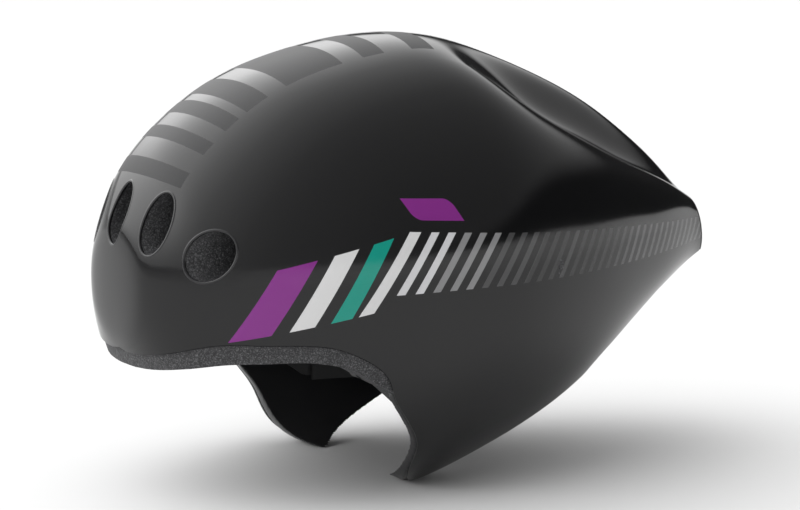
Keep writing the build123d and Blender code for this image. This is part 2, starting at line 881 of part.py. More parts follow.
def divider_latch(side):
    """Latch plate with its knuckle round the divider's pin."""
    with BuildPart() as latch:
        with BuildSketch(divider_plane(side, divider_face + latch_gap)):
            with Locations((0, hinge_rise - latch_length / 2)):
                RectangleRounded(latch_width, latch_length, latch_corner)
        extrude(amount=latch_thickness)
        pin_plane = divider_plane(side, hinge_out)
        knuckle_start = pin_plane.from_local_coords((-latch_width / 2, hinge_rise, 0))
        with BuildSketch(Plane(origin=knuckle_start, z_dir=pin_plane.x_dir)):
            Circle(knuckle_radius)
        extrude(amount=latch_width)
        with BuildSketch(Plane(origin=knuckle_start, z_dir=pin_plane.x_dir)):
            Circle(hinge_pin_radius + hinge_clearance)
        extrude(amount=latch_width, mode=Mode.SUBTRACT)
    return latch


divider_left = strap_divider(1)
divider_left.part.label = "divider_left"
divider_right = strap_divider(-1)
divider_right.part.label = "divider_right"
latch_left = divider_latch(1)
latch_left.part.label = "latch_left"
latch_right = divider_latch(-1)
latch_right.part.label = "latch_right"

# Buckle under the crown
buckle_form = head_form(strap_gap + strap_thickness + strap_slot_gap)
with BuildPart() as buckle_socket:
    with BuildSketch(Plane.XY.offset(socket_floor)):
        with Locations((0, (buckle_reach - buckle_split) / 2)):
            RectangleRounded(buckle_half_width * 2, buckle_reach + buckle_split, buckle_corner)
    extrude(amount=cavity_height - socket_floor)
    add(buckle_form, mode=Mode.INTERSECT)
    with BuildSketch(Plane.XY.offset(socket_floor)):
        with Locations((0, post_place)):
            Circle(post_radius + post_clearance)
    extrude(amount=post_height + post_clearance, mode=Mode.SUBTRACT)
buckle_socket.part.label = "buckle_socket"

with BuildPart() as buckle_plug:
    plate_length = buckle_reach + plug_plate_reach
    with BuildSketch(Plane.XY.offset(plug_floor)):
        with Locations((0, plug_plate_reach - plate_length / 2)):
            RectangleRounded(buckle_half_width * 2, plate_length, buckle_corner)
    extrude(amount=plug_plate)
    with BuildSketch(Plane.XY.offset(plug_floor + plug_plate / 2)):
        shoulder = buckle_reach - buckle_split - fit_gap
        with Locations((0, -buckle_reach + shoulder / 2)):
            RectangleRounded(buckle_half_width * 2, shoulder, buckle_corner)
    extrude(amount=cavity_height - plug_floor)
    add(buckle_form, mode=Mode.INTERSECT)
    with BuildSketch(Plane.XY.offset(plug_floor + plug_plate)):
        with Locations((0, post_place)):
            Circle(post_radius)
    extrude(amount=post_height)
buckle_plug.part.label = "buckle_plug"

# Elastic keeper round the left chin strap
with BuildPart() as strap_keeper:
    with BuildSketch(Plane.XY.offset(keeper_height)):
        with Locations((0, cavity_half_width / 2)):
            Rectangle(strap_width + keeper_wall * 2 + strap_slot_gap * 2, cavity_half_width)
    extrude(amount=keeper_width)
    add(pad_form, mode=Mode.INTERSECT)
    add(head_form(strap_gap + strap_thickness + strap_slot_gap + keeper_wall), mode=Mode.SUBTRACT)
    with BuildPart(mode=Mode.PRIVATE) as strap_room:
        with BuildSketch(Plane.XY.offset(keeper_height)):
            with Locations((0, cavity_half_width / 2)):
                Rectangle(strap_width + strap_slot_gap * 2, cavity_half_width)
        extrude(amount=keeper_width)
        add(buckle_form, mode=Mode.SUBTRACT)
    add(strap_room.part, mode=Mode.SUBTRACT)
strap_keeper.part.label = "strap_keeper"

# Soft pad on the right chin strap
with BuildPart() as chin_pad:
    with BuildSketch(Plane.XY.offset(chin_pad_low)):
        with Locations((0, -cavity_half_width / 2)):
            Rectangle(chin_pad_half_width * 2, cavity_half_width)
    extrude(amount=chin_pad_high - chin_pad_low)
    add(head_form(strap_gap + strap_thickness + fit_gap), mode=Mode.INTERSECT)
    add(
        head_form(strap_gap + strap_thickness + fit_gap + chin_pad_thickness), mode=Mode.SUBTRACT
    )
chin_pad.part.label = "chin_pad"

# Cradle frame: two arms, the band round the nape and the back of the dial housing
screw_heights = (housing_low + housing_rim / 2, housing_high - housing_rim / 2)
screw_face = cradle_place + sqrt(cradle_radius ** 2 - screw_place ** 2)
boss_face = rear_face + boss_rise
with BuildPart() as cradle_frame:
    band_low = cradle_height - arm_width / 2
    nape_band = arc_sector(Plane.XY.offset(band_low), arm_inside, cradle_radius, -90, 90)
    extrude(nape_band, amount=arm_width)
    back_plate = arc_sector(
        Plane.XY.offset(housing_low), arm_inside, cradle_radius, -housing_half_angle, housing_half_angle
    )
    extrude(back_plate, amount=housing_height)
    arm_rise = pivot_height - cradle_height
    arm_run = pivot_place + cradle_place
    for arm_face in (arm_outside, -arm_inside):
        with BuildSketch(level_plane(arm_face)):
            with Locations(((pivot_place - cradle_place) / 2, (pivot_height + cradle_height) / 2)):
                SlotCenterToCenter(
                    sqrt(arm_rise ** 2 + arm_run ** 2), arm_width,
                    rotation=degrees(asin(arm_rise / sqrt(arm_rise ** 2 + arm_run ** 2))),
                )
            with Locations((pivot_place, pivot_height)):
                Circle(eyelet_radius)
        extrude(amount=cradle_wall)
    with BuildSketch(rear_plane(rear_face - cradle_wall)):
        with Locations((0, cradle_height)):
            Circle(boss_radius)
    extrude(amount=cradle_wall + boss_rise)
    with BuildSketch(Plane.XY.offset(housing_low - overrun)):
        with Locations((-cradle_place, 0)):
            Circle(arm_inside)
    extrude(amount=overrun * 2 + housing_height, mode=Mode.SUBTRACT)
    with BuildSketch(Plane.XZ):
        with Locations((pivot_place, pivot_height)):
            Circle(pivot_radius + pivot_clearance)
    extrude(amount=cavity_half_width, both=True, mode=Mode.SUBTRACT)
    with BuildSketch(rear_plane(rear_face - overrun / 2)):
        with Locations((0, cradle_height)):
            Circle(shaft_radius + shaft_clearance)
        for screw_height in screw_heights:
            with Locations((screw_place, screw_height), (-screw_place, screw_height)):
                Circle(screw_radius)
    extrude(amount=overrun, mode=Mode.SUBTRACT)
cradle_frame.part.label = "cradle_frame"

# Front cover of the dial housing
band_outside = arm_inside - band_gap
band_inside = band_outside - band_wall
cover_outside = band_inside - band_gap
cover_inside = cover_outside - cover_wall
with BuildPart() as cradle_cover:
    cover_face = arc_sector(
        Plane.XY.offset(housing_low), cover_inside, cover_outside, -housing_half_angle, housing_half_angle
    )
    extrude(cover_face, amount=housing_height)
    for rim_low in (housing_low, housing_high - housing_rim):
        rim = arc_sector(
            Plane.XY.offset(rim_low), cover_inside, arm_inside, -housing_half_angle, housing_half_angle
        )
        extrude(rim, amount=housing_rim)
    with BuildSketch(rear_plane(rear_face - overrun / 2)):
        with Locations((0, cradle_height)):
            Circle(spindle_radius + shaft_clearance)
        for screw_height in screw_heights:
            with Locations((screw_place, screw_height), (-screw_place, screw_height)):
                Circle(screw_radius)
    extrude(amount=overrun, mode=Mode.SUBTRACT)
cradle_cover.part.label = "cradle_cover"

with BuildPart() as housing_screws:
    for screw_height in screw_heights:
        with BuildSketch(rear_plane(screw_face - screw_length)):
            with Locations((screw_place, screw_height), (-screw_place, screw_height)):
                Circle(screw_radius)
        extrude(amount=screw_length)
        with BuildSketch(rear_plane(screw_face)):
            with Locations((screw_place, screw_height), (-screw_place, screw_height)):
                Circle(screw_head_radius)
        extrude(amount=screw_head_height)
    add(cradle_frame.part, mode=Mode.SUBTRACT)
housing_screws.part.label = "housing_screws"

# Click spring on the housing's back face
with BuildPart() as click_spring:
    with BuildSketch(rear_plane(boss_face)):
        with Locations((0, cradle_height)):
            Circle(spring_outer_radius)
            Circle(spring_inner_radius, mode=Mode.SUBTRACT)
            with Locations((0, spring_outer_radius)):
                Rectangle(spring_thickness * 2, spring_outer_radius, mode=Mode.SUBTRACT)
    extrude(amount=spring_thickness)
click_spring.part.label = "click_spring"

# Fit bands with racks above and below the pinion
rack_edge = pinion_radius + rack_clearance
pitch_radius = (pinion_radius + pinion_root_radius) / 2
rack_step_angle = degrees(2 * pi * pitch_radius / pinion_teeth / band_outside)


def fit_band(side):
    """Band along one side of the nape, with the rack that the pinion draws in."""
    low = cradle_height - band_height / 2
    rack_low = cradle_height + rack_edge if side > 0 else low
    rack_height = band_height / 2 - rack_edge
    spans = sorted((side * band_rear_angle, side * band_front_angle))
    rack_spans = sorted((-side * rack_overlap_angle, side * rack_root_angle))
    with BuildPart() as band:
        main = arc_sector(Plane.XY.offset(low), band_inside, band_outside, *spans)
        extrude(main, amount=band_height)
        rack = arc_sector(Plane.XY.offset(rack_low), band_inside, band_outside, *rack_spans)
        extrude(rack, amount=rack_height)
        notch_low = rack_low if side > 0 else rack_low + rack_height - rack_notch
        with BuildSketch(Plane.XY.offset(notch_low)):
            for i in range(rack_notches):
                along = (i + 1) * rack_step_angle - rack_overlap_angle
                angle = radians(180 - side * along)
                notch_x = band_outside * cos(angle) - cradle_place
                with Locations(Location((notch_x, band_outside * sin(angle)), degrees(angle))):
                    Rectangle(band_wall * 3, rack_notch_width)
        extrude(amount=rack_notch, mode=Mode.SUBTRACT)
    return band


fit_band_left = fit_band(1)
fit_band_left.part.label = "fit_band_left"
fit_band_right = fit_band(-1)
fit_band_right.part.label = "fit_band_right"


def nape_pad(side):
    """Soft pad on the inner face of one fit band."""
    outer = band_inside - fit_gap
    spans = sorted((side * nape_pad_start_angle, side * nape_pad_end_angle))
    low = cradle_height - nape_pad_half_height
    with BuildPart() as pad:
        body = arc_sector(Plane.XY.offset(low), outer - nape_pad_thickness, outer, *spans)
        extrude(body, amount=nape_pad_half_height * 2)
        inner_edges = pad.edges().filter_by(GeomType.CIRCLE).sort_by(
            lambda edge: edge.radius
        )[:2]
        fillet(inner_edges, nape_pad_edge)
    return pad


nape_pad_left = nape_pad(1)
nape_pad_left.part.label = "nape_pad_left"
nape_pad_right = nape_pad(-1)
nape_pad_right.part.label = "nape_pad_right"

# Dial with its shaft, the pinion on the shaft and the clip at its end
dial_face = boss_face + dial_gap
pinion_face = cradle_place + band_outside
spindle_end = cradle_place + cover_inside - clip_gap - clip_thickness * 2
with BuildPart() as fit_dial:
    with BuildSketch(rear_plane(dial_face)):
        with Locations((0, cradle_height)):
            Circle(dial_radius)
            with PolarLocations(dial_radius + dial_grip_radius / 2, dial_grips):
                Circle(dial_grip_radius, mode=Mode.SUBTRACT)
    extrude(amount=dial_thickness)
    chamfer(fit_dial.faces().sort_by(Axis.X)[0].edges(), dial_edge)
    with BuildSketch(rear_plane(dial_face + dial_thickness - dial_dish_depth)):
        with Locations((0, cradle_height)):
            Circle(dial_dish_radius)
    extrude(amount=dial_dish_depth, mode=Mode.SUBTRACT)
    with BuildSketch(rear_plane(dial_face)):
        with Locations((0, cradle_height)):
            Circle(spring_outer_radius + spring_margin)
            Circle(spring_inner_radius - spring_margin, mode=Mode.SUBTRACT)
    extrude(amount=spring_recess, mode=Mode.SUBTRACT)
    with BuildSketch(rear_plane(pinion_face)):
        with Locations((0, cradle_height)):
            Circle(shaft_radius)
    extrude(amount=dial_face - pinion_face)
    with BuildSketch(rear_plane(spindle_end)):
        with Locations((0, cradle_height)):
            Circle(spindle_radius)
    extrude(amount=pinion_face - spindle_end)
fit_dial.part.label = "fit_dial"

with BuildPart() as dial_pinion:
    with BuildSketch(rear_plane(pinion_face - pinion_width)):
        with Locations((0, cradle_height)):
            Circle(pinion_root_radius)
            with PolarLocations(pinion_root_radius, pinion_teeth):
                Rectangle((pinion_radius - pinion_root_radius) * 2, rack_notch)
            Circle(spindle_radius, mode=Mode.SUBTRACT)
    extrude(amount=pinion_width)
dial_pinion.part.label = "dial_pinion"

clip_face = cradle_place + cover_inside - clip_gap
with BuildPart() as dial_clip:
    with BuildSketch(rear_plane(clip_face - clip_thickness)):
        with Locations((0, cradle_height)):
            Circle(clip_radius)
            Circle(spindle_radius, mode=Mode.SUBTRACT)
            with Locations((0, clip_radius)):
                Rectangle(spindle_radius, clip_radius * 2 - spindle_radius, mode=Mode.SUBTRACT)
    extrude(amount=clip_thickness)
dial_clip.part.label = "dial_clip"

# Hanger that guides the cradle up and down
with BuildPart() as height_hanger:
    hanger_foot = cradle_height + boss_radius + fit_gap
    strip = hanger_sector(hanger_inner, hanger_outer, hanger_foot, hanger_top)
    extrude(strip, amount=hanger_half_width, both=True)
height_hanger.part.label = "height_hanger"

pieces = [
    outer_shell, foam_front_left, foam_front_right, foam_crown, foam_side_left, foam_side_right,
    foam_tail_upper, foam_tail_lower, ear_panel_left, ear_panel_right, brow_pad, crown_pad_front,
    crown_pad_rear,
    side_pad_left, side_pad_right, pad_dots, strap_anchors, temple_mount_left, temple_mount_right,
    temple_caps, hanger_anchor, front_strap_left, front_strap_right, rear_strap_left,
    rear_strap_right, divider_left, divider_right, latch_left, latch_right, chin_strap_left,
    chin_strap_right, strap_keeper, chin_pad, buckle_socket, buckle_plug, cradle_frame, cradle_cover,
    housing_screws, click_spring, height_hanger, fit_band_left, fit_band_right, nape_pad_left,
    nape_pad_right, fit_dial, dial_pinion, dial_clip,
]
for piece in pieces:
    export_step(piece.part, f"parts/{piece.part.label}.step")
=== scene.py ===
"""Looks of the aero time trial helmet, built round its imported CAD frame.

Everything is in metres in the CAD's own frame: the origin is the centre of the head opening
at brow level, +X points to the nose, +Y to the wearer's left and +Z up.
"""

from __future__ import annotations

import logging
import math
from dataclasses import dataclass, field
from enum import Enum
from typing import Callable, Iterable

import bmesh
import bpy
import numpy as np
from mathutils import Matrix, Vector


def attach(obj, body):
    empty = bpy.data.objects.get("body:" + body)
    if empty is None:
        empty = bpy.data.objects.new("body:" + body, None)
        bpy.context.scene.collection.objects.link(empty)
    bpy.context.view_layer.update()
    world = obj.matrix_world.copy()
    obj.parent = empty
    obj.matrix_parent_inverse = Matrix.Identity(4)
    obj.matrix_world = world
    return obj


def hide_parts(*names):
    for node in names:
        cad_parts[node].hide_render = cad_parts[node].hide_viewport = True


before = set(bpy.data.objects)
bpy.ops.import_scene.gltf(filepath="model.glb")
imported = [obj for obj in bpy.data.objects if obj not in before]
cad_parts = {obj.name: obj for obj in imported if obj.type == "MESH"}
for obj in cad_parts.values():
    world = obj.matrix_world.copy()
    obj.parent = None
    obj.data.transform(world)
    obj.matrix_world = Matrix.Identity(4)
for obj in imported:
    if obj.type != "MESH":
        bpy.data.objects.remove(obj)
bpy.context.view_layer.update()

# Distances under which points are merged, and a length that only guards a division
MERGE_GAP = 1e-6
FINE_GAP = 1e-7
NO_LENGTH = 1e-9

log = logging.getLogger("helmet")

Colour = tuple[float, float, float]
Socket = bpy.types.NodeSocket
Value = float | Colour | Socket
Placing = Callable[[float, float], tuple[float, float, float]]
DeepPlacing = Callable[[float, float, float], Vector]


class Side(Enum):
    """The wearer's two sides."""

    LEFT = 1
    RIGHT = -1


# ---------------------------------------------------------------- node helpers


@dataclass
class NodeMaker:
    """Builds the shader nodes of one material, or of the world."""

    material: bpy.types.Material | bpy.types.World

    @classmethod
    def fresh(cls, name: str) -> "NodeMaker":
        """Start a material with only its output.

        Args:
            name: The material's name.

        Returns:
            A maker for the new material's nodes.
        """
        material = bpy.data.materials.new(name)
        material.use_nodes = True
        material.node_tree.nodes.clear()
        return cls(material)

    def add(self, kind: str, inputs: dict | None = None, **settings) -> bpy.types.Node:
        """Add one node.

        Args:
            kind: The node's type name.
            inputs: Values or sockets by input name or index.
            settings: Attributes to set on the node.

        Returns:
            The new node.
        """
        node = self.material.node_tree.nodes.new(kind)
        for name, value in settings.items():
            setattr(node, name, value)
        for key, value in (inputs or {}).items():
            self.join(value, node.inputs[key])
        return node

    def join(self, value: Value, socket: Socket) -> None:
        """Link a socket, or set a constant on it."""
        if isinstance(value, Socket):
            self.material.node_tree.links.new(value, socket)
        elif isinstance(value, tuple) and len(value) == 3 and socket.type == "RGBA":
            socket.default_value = (*value, 1.0)
        else:
            socket.default_value = value

    def math(self, operation: str, *values: Value, clamp: bool = False) -> Socket:
        """Add a Math node.

        Args:
            operation: The node's operation.
            values: Its inputs, constants or sockets.
            clamp: Whether the result is kept from 0 to 1.

        Returns:
            The result's socket.
        """
        node = self.add("ShaderNodeMath", operation=operation, use_clamp=clamp)
        for index, value in enumerate(values):
            self.join(value, node.inputs[index])
        return node.outputs[0]

    def above(self, value: Value, limit: Value) -> Socket:
        """1 where a value is over a limit."""
        return self.math("GREATER_THAN", value, limit)

    def both(self, *masks: Socket) -> Socket:
        """1 where every mask is."""
        result = masks[0]
        for mask in masks[1:]:
            result = self.math("MULTIPLY", result, mask)
        return result

    def between(self, value: Value, low: Value, high: Value) -> Socket:
        """1 where a value lies between two limits."""
        return self.both(self.above(value, low), self.above(high, value))

    def line(self, value: Value, start: float, slope: float) -> Socket:
        """A straight line of a value: start plus slope times the value."""
        return self.math("MULTIPLY_ADD", value, slope, start)

    def weighted(self, values: tuple[Socket, Socket], shares: tuple[float, float]) -> Socket:
        """Sum of two values, each times its share."""
        return self.math("ADD", *(self.math("MULTIPLY", *pair) for pair in zip(values, shares)))

    def eased(self, value: Value, low: Value, high: Value) -> Socket:
        """Smooth rise from 0 at a low value to 1 at a high one."""
        return self.add(
            "ShaderNodeMapRange", {"Value": value, "From Min": low, "From Max": high},
            interpolation_type="SMOOTHSTEP",
        ).outputs[0]

    def mix(self, factor: Value, first: Value, second: Value) -> Socket:
        """Mix two colours.

        Args:
            factor: Share of the second one.
            first: Colour or socket.
            second: Colour or socket.

        Returns:
            The mixed colour's socket.
        """
        # A Mix node keeps its colours at inputs 6 and 7 and at output 2
        node = self.add("ShaderNodeMix", data_type="RGBA")
        for index, value in ((0, factor), (6, first), (7, second)):
            self.join(value, node.inputs[index])
        return node.outputs[2]

    def ramp(
        self, value: Socket, stops: Iterable[tuple[float, Colour]], steps: bool = False
    ) -> Socket:
        """Colour ramp over a value.

        Args:
            value: The value's socket.
            stops: Places and colours.
            steps: Whether the colours change in steps.

        Returns:
            The colour's socket.
        """
        node = self.add("ShaderNodeValToRGB", {0: value})
        ramp = node.color_ramp
        ramp.interpolation = "CONSTANT" if steps else "LINEAR"
        stops = list(stops)
        while len(ramp.elements) < len(stops):
            ramp.elements.new(1.0)
        for element, (place, colour) in zip(ramp.elements, stops):
            element.position = place
            element.color = (*colour, 1.0)
        return node.outputs[0]

    def bands(
        self, value: Socket, plain: Colour, bands: Iterable[tuple[float, float, Colour]]
    ) -> Socket:
        """Plain colour with sharp bands of other colours over a value.

        Args:
            value: The value's socket.
            plain: Colour between the bands.
            bands: Start, end and colour of each.

        Returns:
            The colour's socket.
        """
        stops = [(0.0, plain)]
        for start, end, colour in bands:
            stops += [(start, colour), (end, plain)]
        return self.ramp(value, stops, steps=True)

    def place(self) -> Socket:
        """The surface's place in metres, in the helmet's frame."""
        return self.add("ShaderNodeTexCoord").outputs["Object"]

    def uv(self) -> Socket:
        """The piece's own UV map, in metres along and across."""
        return self.add("ShaderNodeTexCoord").outputs["UV"]

    def noise(self, place: Socket, scale: float, detail: float) -> Socket:
        """Fractal noise at a scale per metre."""
        inputs = {"Vector": place, "Scale": scale, "Detail": detail}
        return self.add("ShaderNodeTexNoise", inputs).outputs[0]

    def cells(
        self, place: Socket, size: float, kind: str = "F1", **inputs: float
    ) -> bpy.types.Node:
        """Cells of a size in metres."""
        return self.add(
            "ShaderNodeTexVoronoi", {"Vector": place, "Scale": 1.0 / size, **inputs}, feature=kind
        )

    def bump(self, height: Socket, distance: float, strength: float) -> Socket:
        """Bump normal from a height.

        Args:
            height: The height's socket, from 0 to 1.
            distance: Depth of a full height, in metres.
            strength: Share of the bump.

        Returns:
            The normal's socket.
        """
        inputs = {"Height": height, "Distance": distance, "Strength": strength}
        return self.add("ShaderNodeBump", inputs).outputs[0]

    def finish(
        self, colour: Value, roughness: Value, normal: Socket, **constants: float
    ) -> bpy.types.Material:
        """Add the surface shader and the output.

        Args:
            colour: Base colour.
            roughness: Roughness.
            normal: Normal socket.
            constants: Further shader inputs, with underscores for spaces.

        Returns:
            The finished material.
        """
        shader = self.add("ShaderNodeBsdfPrincipled")
        self.join(colour, shader.inputs["Base Color"])
        self.join(roughness, shader.inputs["Roughness"])
        self.join(normal, shader.inputs["Normal"])
        for name, value in constants.items():
            self.join(value, shader.inputs[name.replace("_", " ")])
        output = self.add("ShaderNodeOutputMaterial", {"Surface": shader.outputs[0]})
        output.is_active_output = True
        return self.material


# ---------------------------------------------------------------- finishes


@dataclass(frozen=True)
class PaintedShell:
    """Gloss black lacquer with printed stripes, a bare purple tab and matt bars on the crown.

    A pair named a line holds a height at the origin and its slope along the helmet. A pair named
    a slant holds how far stripes lean back with their height and the height of their foot.
    """

    black: Colour = (0.0045, 0.0045, 0.005)
    bar_black: Colour = (0.010, 0.010, 0.011)
    purple: Colour = (0.205, 0.018, 0.215)
    teal: Colour = (0.0, 0.275, 0.21)
    silver: Colour = (0.66, 0.66, 0.66)
    gloss: float = 0.09
    gloss_spread: float = 0.02
    matt: float = 0.56
    ior: float = 1.45
    # Orange peel in the gloss, and a faint ripple of the surface
    peel_scale: float = 900.0
    ripple_scale: float = 260.0
    ripple_depth: float = 0.00002
    ripple_share: float = 0.35
    # Large stripes stand on a line that follows the brow and end on a rising one
    large_slant: tuple[float, float] = (0.59, 0.022)
    large_foot_line: tuple[float, float] = (0.0350, -0.206)
    large_top_line: tuple[float, float] = (0.0689, -0.250)
    # Start, end and colour of each, with places in tenths of a metre
    large_scale: float = 10.0
    large_stripes: tuple[tuple[float, float, Colour], ...] = (
        (0.459, 0.546, teal), (0.608, 0.707, silver), (0.770, 0.925, purple),
    )
    # Single light stripe that joins the two bands
    single_slant: tuple[float, float] = (0.70, 0.022)
    single_ends: tuple[float, float] = (0.0377, 0.0440)
    # Fine stripes: stripes per metre at their start, growing and thinning towards the tail
    fine_slant: tuple[float, float] = (0.705, 0.036)
    fine_foot_line: tuple[float, float] = (0.0362, -0.006)
    fine_top_line: tuple[float, float] = (0.0650, 0.073)
    fine_start: float = 0.0230
    fine_count: float = 101.5
    fine_growth: float = 150.0
    fine_gap: float = 0.08
    fine_width: tuple[float, float] = (0.54, -0.35)
    # Number of the first fine stripe with each grey, counted from the temple
    # The fine stripes are printed light. These greys fall to nearly black behind the temple and
    # are lighter again at the tail, which is painted shade following the reflected light.
    fine_greys_with_painted_shade: tuple[tuple[int, float], ...] = (
        (0, 0.62), (2, 0.235), (5, 0.060), (8, 0.032), (11, 0.050), (12, 0.030), (17, 0.048),
        (18, 0.066), (19, 0.085),
    )
    most_stripes: float = 40.0
    cool_share: float = 1.02
    # Where the fine stripes end, just before the tail's face
    tail_slant: tuple[float, float] = (-0.2167, 0.030)
    tail_stop: float = -0.2180
    # The tab's slant, lower and upper edge, ends and rounding
    tab_slant: tuple[float, float] = (-0.62, 0.0757)
    tab_foot_line: tuple[float, float] = (0.0706, 0.069)
    tab_top_line: tuple[float, float] = (0.0810, 0.053)
    tab_ends: tuple[float, float] = (-0.0130, 0.0123)
    tab_round: float = 0.0038
    # Bars over the crown, by start and end of half their turn about a point inside the head
    bar_centre: tuple[float, float] = (0.012, 0.030)
    bar_scale: float = 0.5
    bar_half_width: float = 0.0355
    bars: tuple[tuple[float, float], ...] = (
        (0.269, 0.305), (0.356, 0.392), (0.430, 0.476), (0.500, 0.560), (0.610, 0.760),
        (0.812, 0.862), (0.925, 0.975),
    )

    def make(self) -> bpy.types.Material:
        """Build the material."""
        maker = NodeMaker.fresh("painted_shell")
        parts = maker.add("ShaderNodeSeparateXYZ", {0: maker.place()})
        x, y, z = parts.outputs
        colour = self.side_stripes(maker, x, z)
        colour = maker.mix(self.tab(maker, x, z), colour, self.purple)
        bars = self.crown_bars(maker, x, y, z)
        colour = maker.mix(bars, colour, self.bar_black)
        orange_peel = maker.noise(maker.place(), self.peel_scale, detail=2.0)
        base = maker.line(orange_peel, self.gloss - self.gloss_spread / 2, self.gloss_spread)
        roughness = maker.math("MULTIPLY_ADD", bars, self.matt - self.gloss, base)
        ripple = maker.noise(maker.place(), self.ripple_scale, detail=1.0)
        normal = maker.bump(ripple, self.ripple_depth, self.ripple_share)
        return maker.finish(colour, roughness, normal, IOR=self.ior)

    def slanted(
        self, maker: NodeMaker, x: Socket, z: Socket, slant: tuple[float, float]
    ) -> Socket:
        """Place along the stripes, level with their foot, for stripes that lean back."""
        lean, foot = slant
        return maker.math("MULTIPLY_ADD", maker.math("SUBTRACT", z, foot), lean, x)

    def side_stripes(self, maker: NodeMaker, x: Socket, z: Socket) -> Socket:
        """The large stripes at the temple and the fine ones back to the tail.

        Args:
            maker: Maker of the material's nodes.
            x: Place along the helmet.
            z: Height.

        Returns:
            The colour's socket.
        """
        low = maker.line(x, *self.large_foot_line)
        upright = maker.between(z, low, maker.line(x, *self.large_top_line))
        near = self.slanted(maker, x, z, self.large_slant)
        spread = maker.math("MULTIPLY", near, self.large_scale)
        large = maker.bands(spread, self.black, self.large_stripes)
        colour = maker.mix(upright, self.black, large)
        top = maker.line(x, *self.fine_top_line)
        joint = self.slanted(maker, x, z, self.single_slant)
        single = maker.both(maker.between(z, low, top), maker.between(joint, *self.single_ends))
        colour = maker.mix(single, colour, self.silver)
        fine = self.slanted(maker, x, z, self.fine_slant)
        back = maker.math("SUBTRACT", self.fine_start, fine)
        count = maker.math("MULTIPLY", back, maker.line(back, self.fine_count, self.fine_growth))
        share = maker.math("FRACT", count)
        along = maker.both(
            maker.above(back, 0.0),
            maker.between(share, self.fine_gap, maker.line(back, *self.fine_width)),
            maker.between(z, maker.line(x, *self.fine_foot_line), top),
            maker.above(self.slanted(maker, x, z, self.tail_slant), self.tail_stop),
        )
        # Grey of each fine stripe: its print with painted shade, darker behind the temple and
        # lighter again at the tail
        stripe_grey_with_painted_shade = maker.ramp(
            maker.math("DIVIDE", count, self.most_stripes),
            [
                (number / self.most_stripes, (grey, grey, grey * self.cool_share))
                for number, grey in self.fine_greys_with_painted_shade
            ],
            steps=True,
        )
        return maker.mix(along, colour, stripe_grey_with_painted_shade)

    def tab(self, maker: NodeMaker, x: Socket, z: Socket) -> Socket:
        """Mask of the bare purple tab over the stripes, with two rounded corners.

        Args:
            maker: Maker of the material's nodes.
            x: Place along the helmet.
            z: Height.

        Returns:
            The mask's socket.
        """
        slanted = self.slanted(maker, x, z, self.tab_slant)
        rear = maker.math("SUBTRACT", slanted, self.tab_ends[0])
        front = maker.math("SUBTRACT", self.tab_ends[1], slanted)
        over = maker.math("SUBTRACT", z, maker.line(x, *self.tab_foot_line))
        under = maker.math("SUBTRACT", maker.line(x, *self.tab_top_line), z)
        inside = [maker.above(distance, 0.0) for distance in (rear, front, over, under)]
        return maker.both(
            *inside, self.rounded(maker, rear, under), self.rounded(maker, front, over)
        )

    def rounded(self, maker: NodeMaker, first: Socket, second: Socket) -> Socket:
        """Mask that rounds the corner between two edges, from the distances inside them."""
        squares = []
        for distance in (first, second):
            past = maker.math("MAXIMUM", maker.math("SUBTRACT", self.tab_round, distance), 0.0)
            squares.append(maker.math("MULTIPLY", past, past))
        return maker.above(self.tab_round**2, maker.math("ADD", *squares))

    def crown_bars(self, maker: NodeMaker, x: Socket, y: Socket, z: Socket) -> Socket:
        """Mask of the matt bars over the crown, in planes that fan out from the head's centre."""
        ahead, up = self.bar_centre
        turn = maker.math(
            "ARCTAN2", maker.math("SUBTRACT", z, up), maker.math("SUBTRACT", x, ahead)
        )
        steps = maker.bands(
            maker.math("MULTIPLY", turn, self.bar_scale), (0.0, 0.0, 0.0),
            [(start, end, (1.0, 1.0, 1.0)) for start, end in self.bars],
        )
        return maker.both(steps, maker.above(self.bar_half_width, maker.math("ABSOLUTE", y)))


@dataclass(frozen=True)
class BeadFoam:
    """Moulded bead foam: small flattened beads with shallow joints and a light speckle."""

    light: Colour = (0.150, 0.150, 0.155)
    dark: Colour = (0.024, 0.024, 0.026)
    joint_shade: Colour = (0.022, 0.022, 0.023)
    bead: float = 0.0016
    joint_rise: float = 9.0
    speckle_scale: float = 1500.0
    speckle_start: float = 0.46
    speckle_rise: float = 4.5
    # Shares of the beads' tint and the speckle in the shade, of the domes and it in the height
    shade_shares: tuple[float, float] = (0.2, 0.8)
    height_shares: tuple[float, float] = (0.8, 0.3)
    depth: float = 0.0004
    bump_share: float = 0.85
    # Least roughness and how much the speckle adds
    roughness: tuple[float, float] = (0.56, 0.18)
    ior: float = 1.4

    def make(self) -> bpy.types.Material:
        """Build the material."""
        maker = NodeMaker.fresh("bead_foam")
        place = maker.place()
        cells = maker.cells(place, self.bead, "DISTANCE_TO_EDGE").outputs["Distance"]
        beads = maker.cells(place, self.bead)
        tint = maker.add("ShaderNodeSeparateColor", {0: beads.outputs["Color"]}).outputs[0]
        joint = maker.math("MULTIPLY", cells, self.joint_rise, clamp=True)
        fine = maker.noise(place, self.speckle_scale, detail=3.0)
        above = maker.math("SUBTRACT", fine, self.speckle_start)
        speckle = maker.math("MULTIPLY", above, self.speckle_rise, clamp=True)
        shade = maker.weighted((tint, speckle), self.shade_shares)
        body = maker.mix(shade, self.dark, self.light)
        colour = maker.mix(joint, self.joint_shade, body)
        dome = maker.math("SUBTRACT", 1.0, beads.outputs["Distance"])
        height = maker.weighted((dome, fine), self.height_shares)
        normal = maker.bump(height, self.depth, self.bump_share)
        return maker.finish(colour, maker.line(fine, *self.roughness), normal, IOR=self.ior)


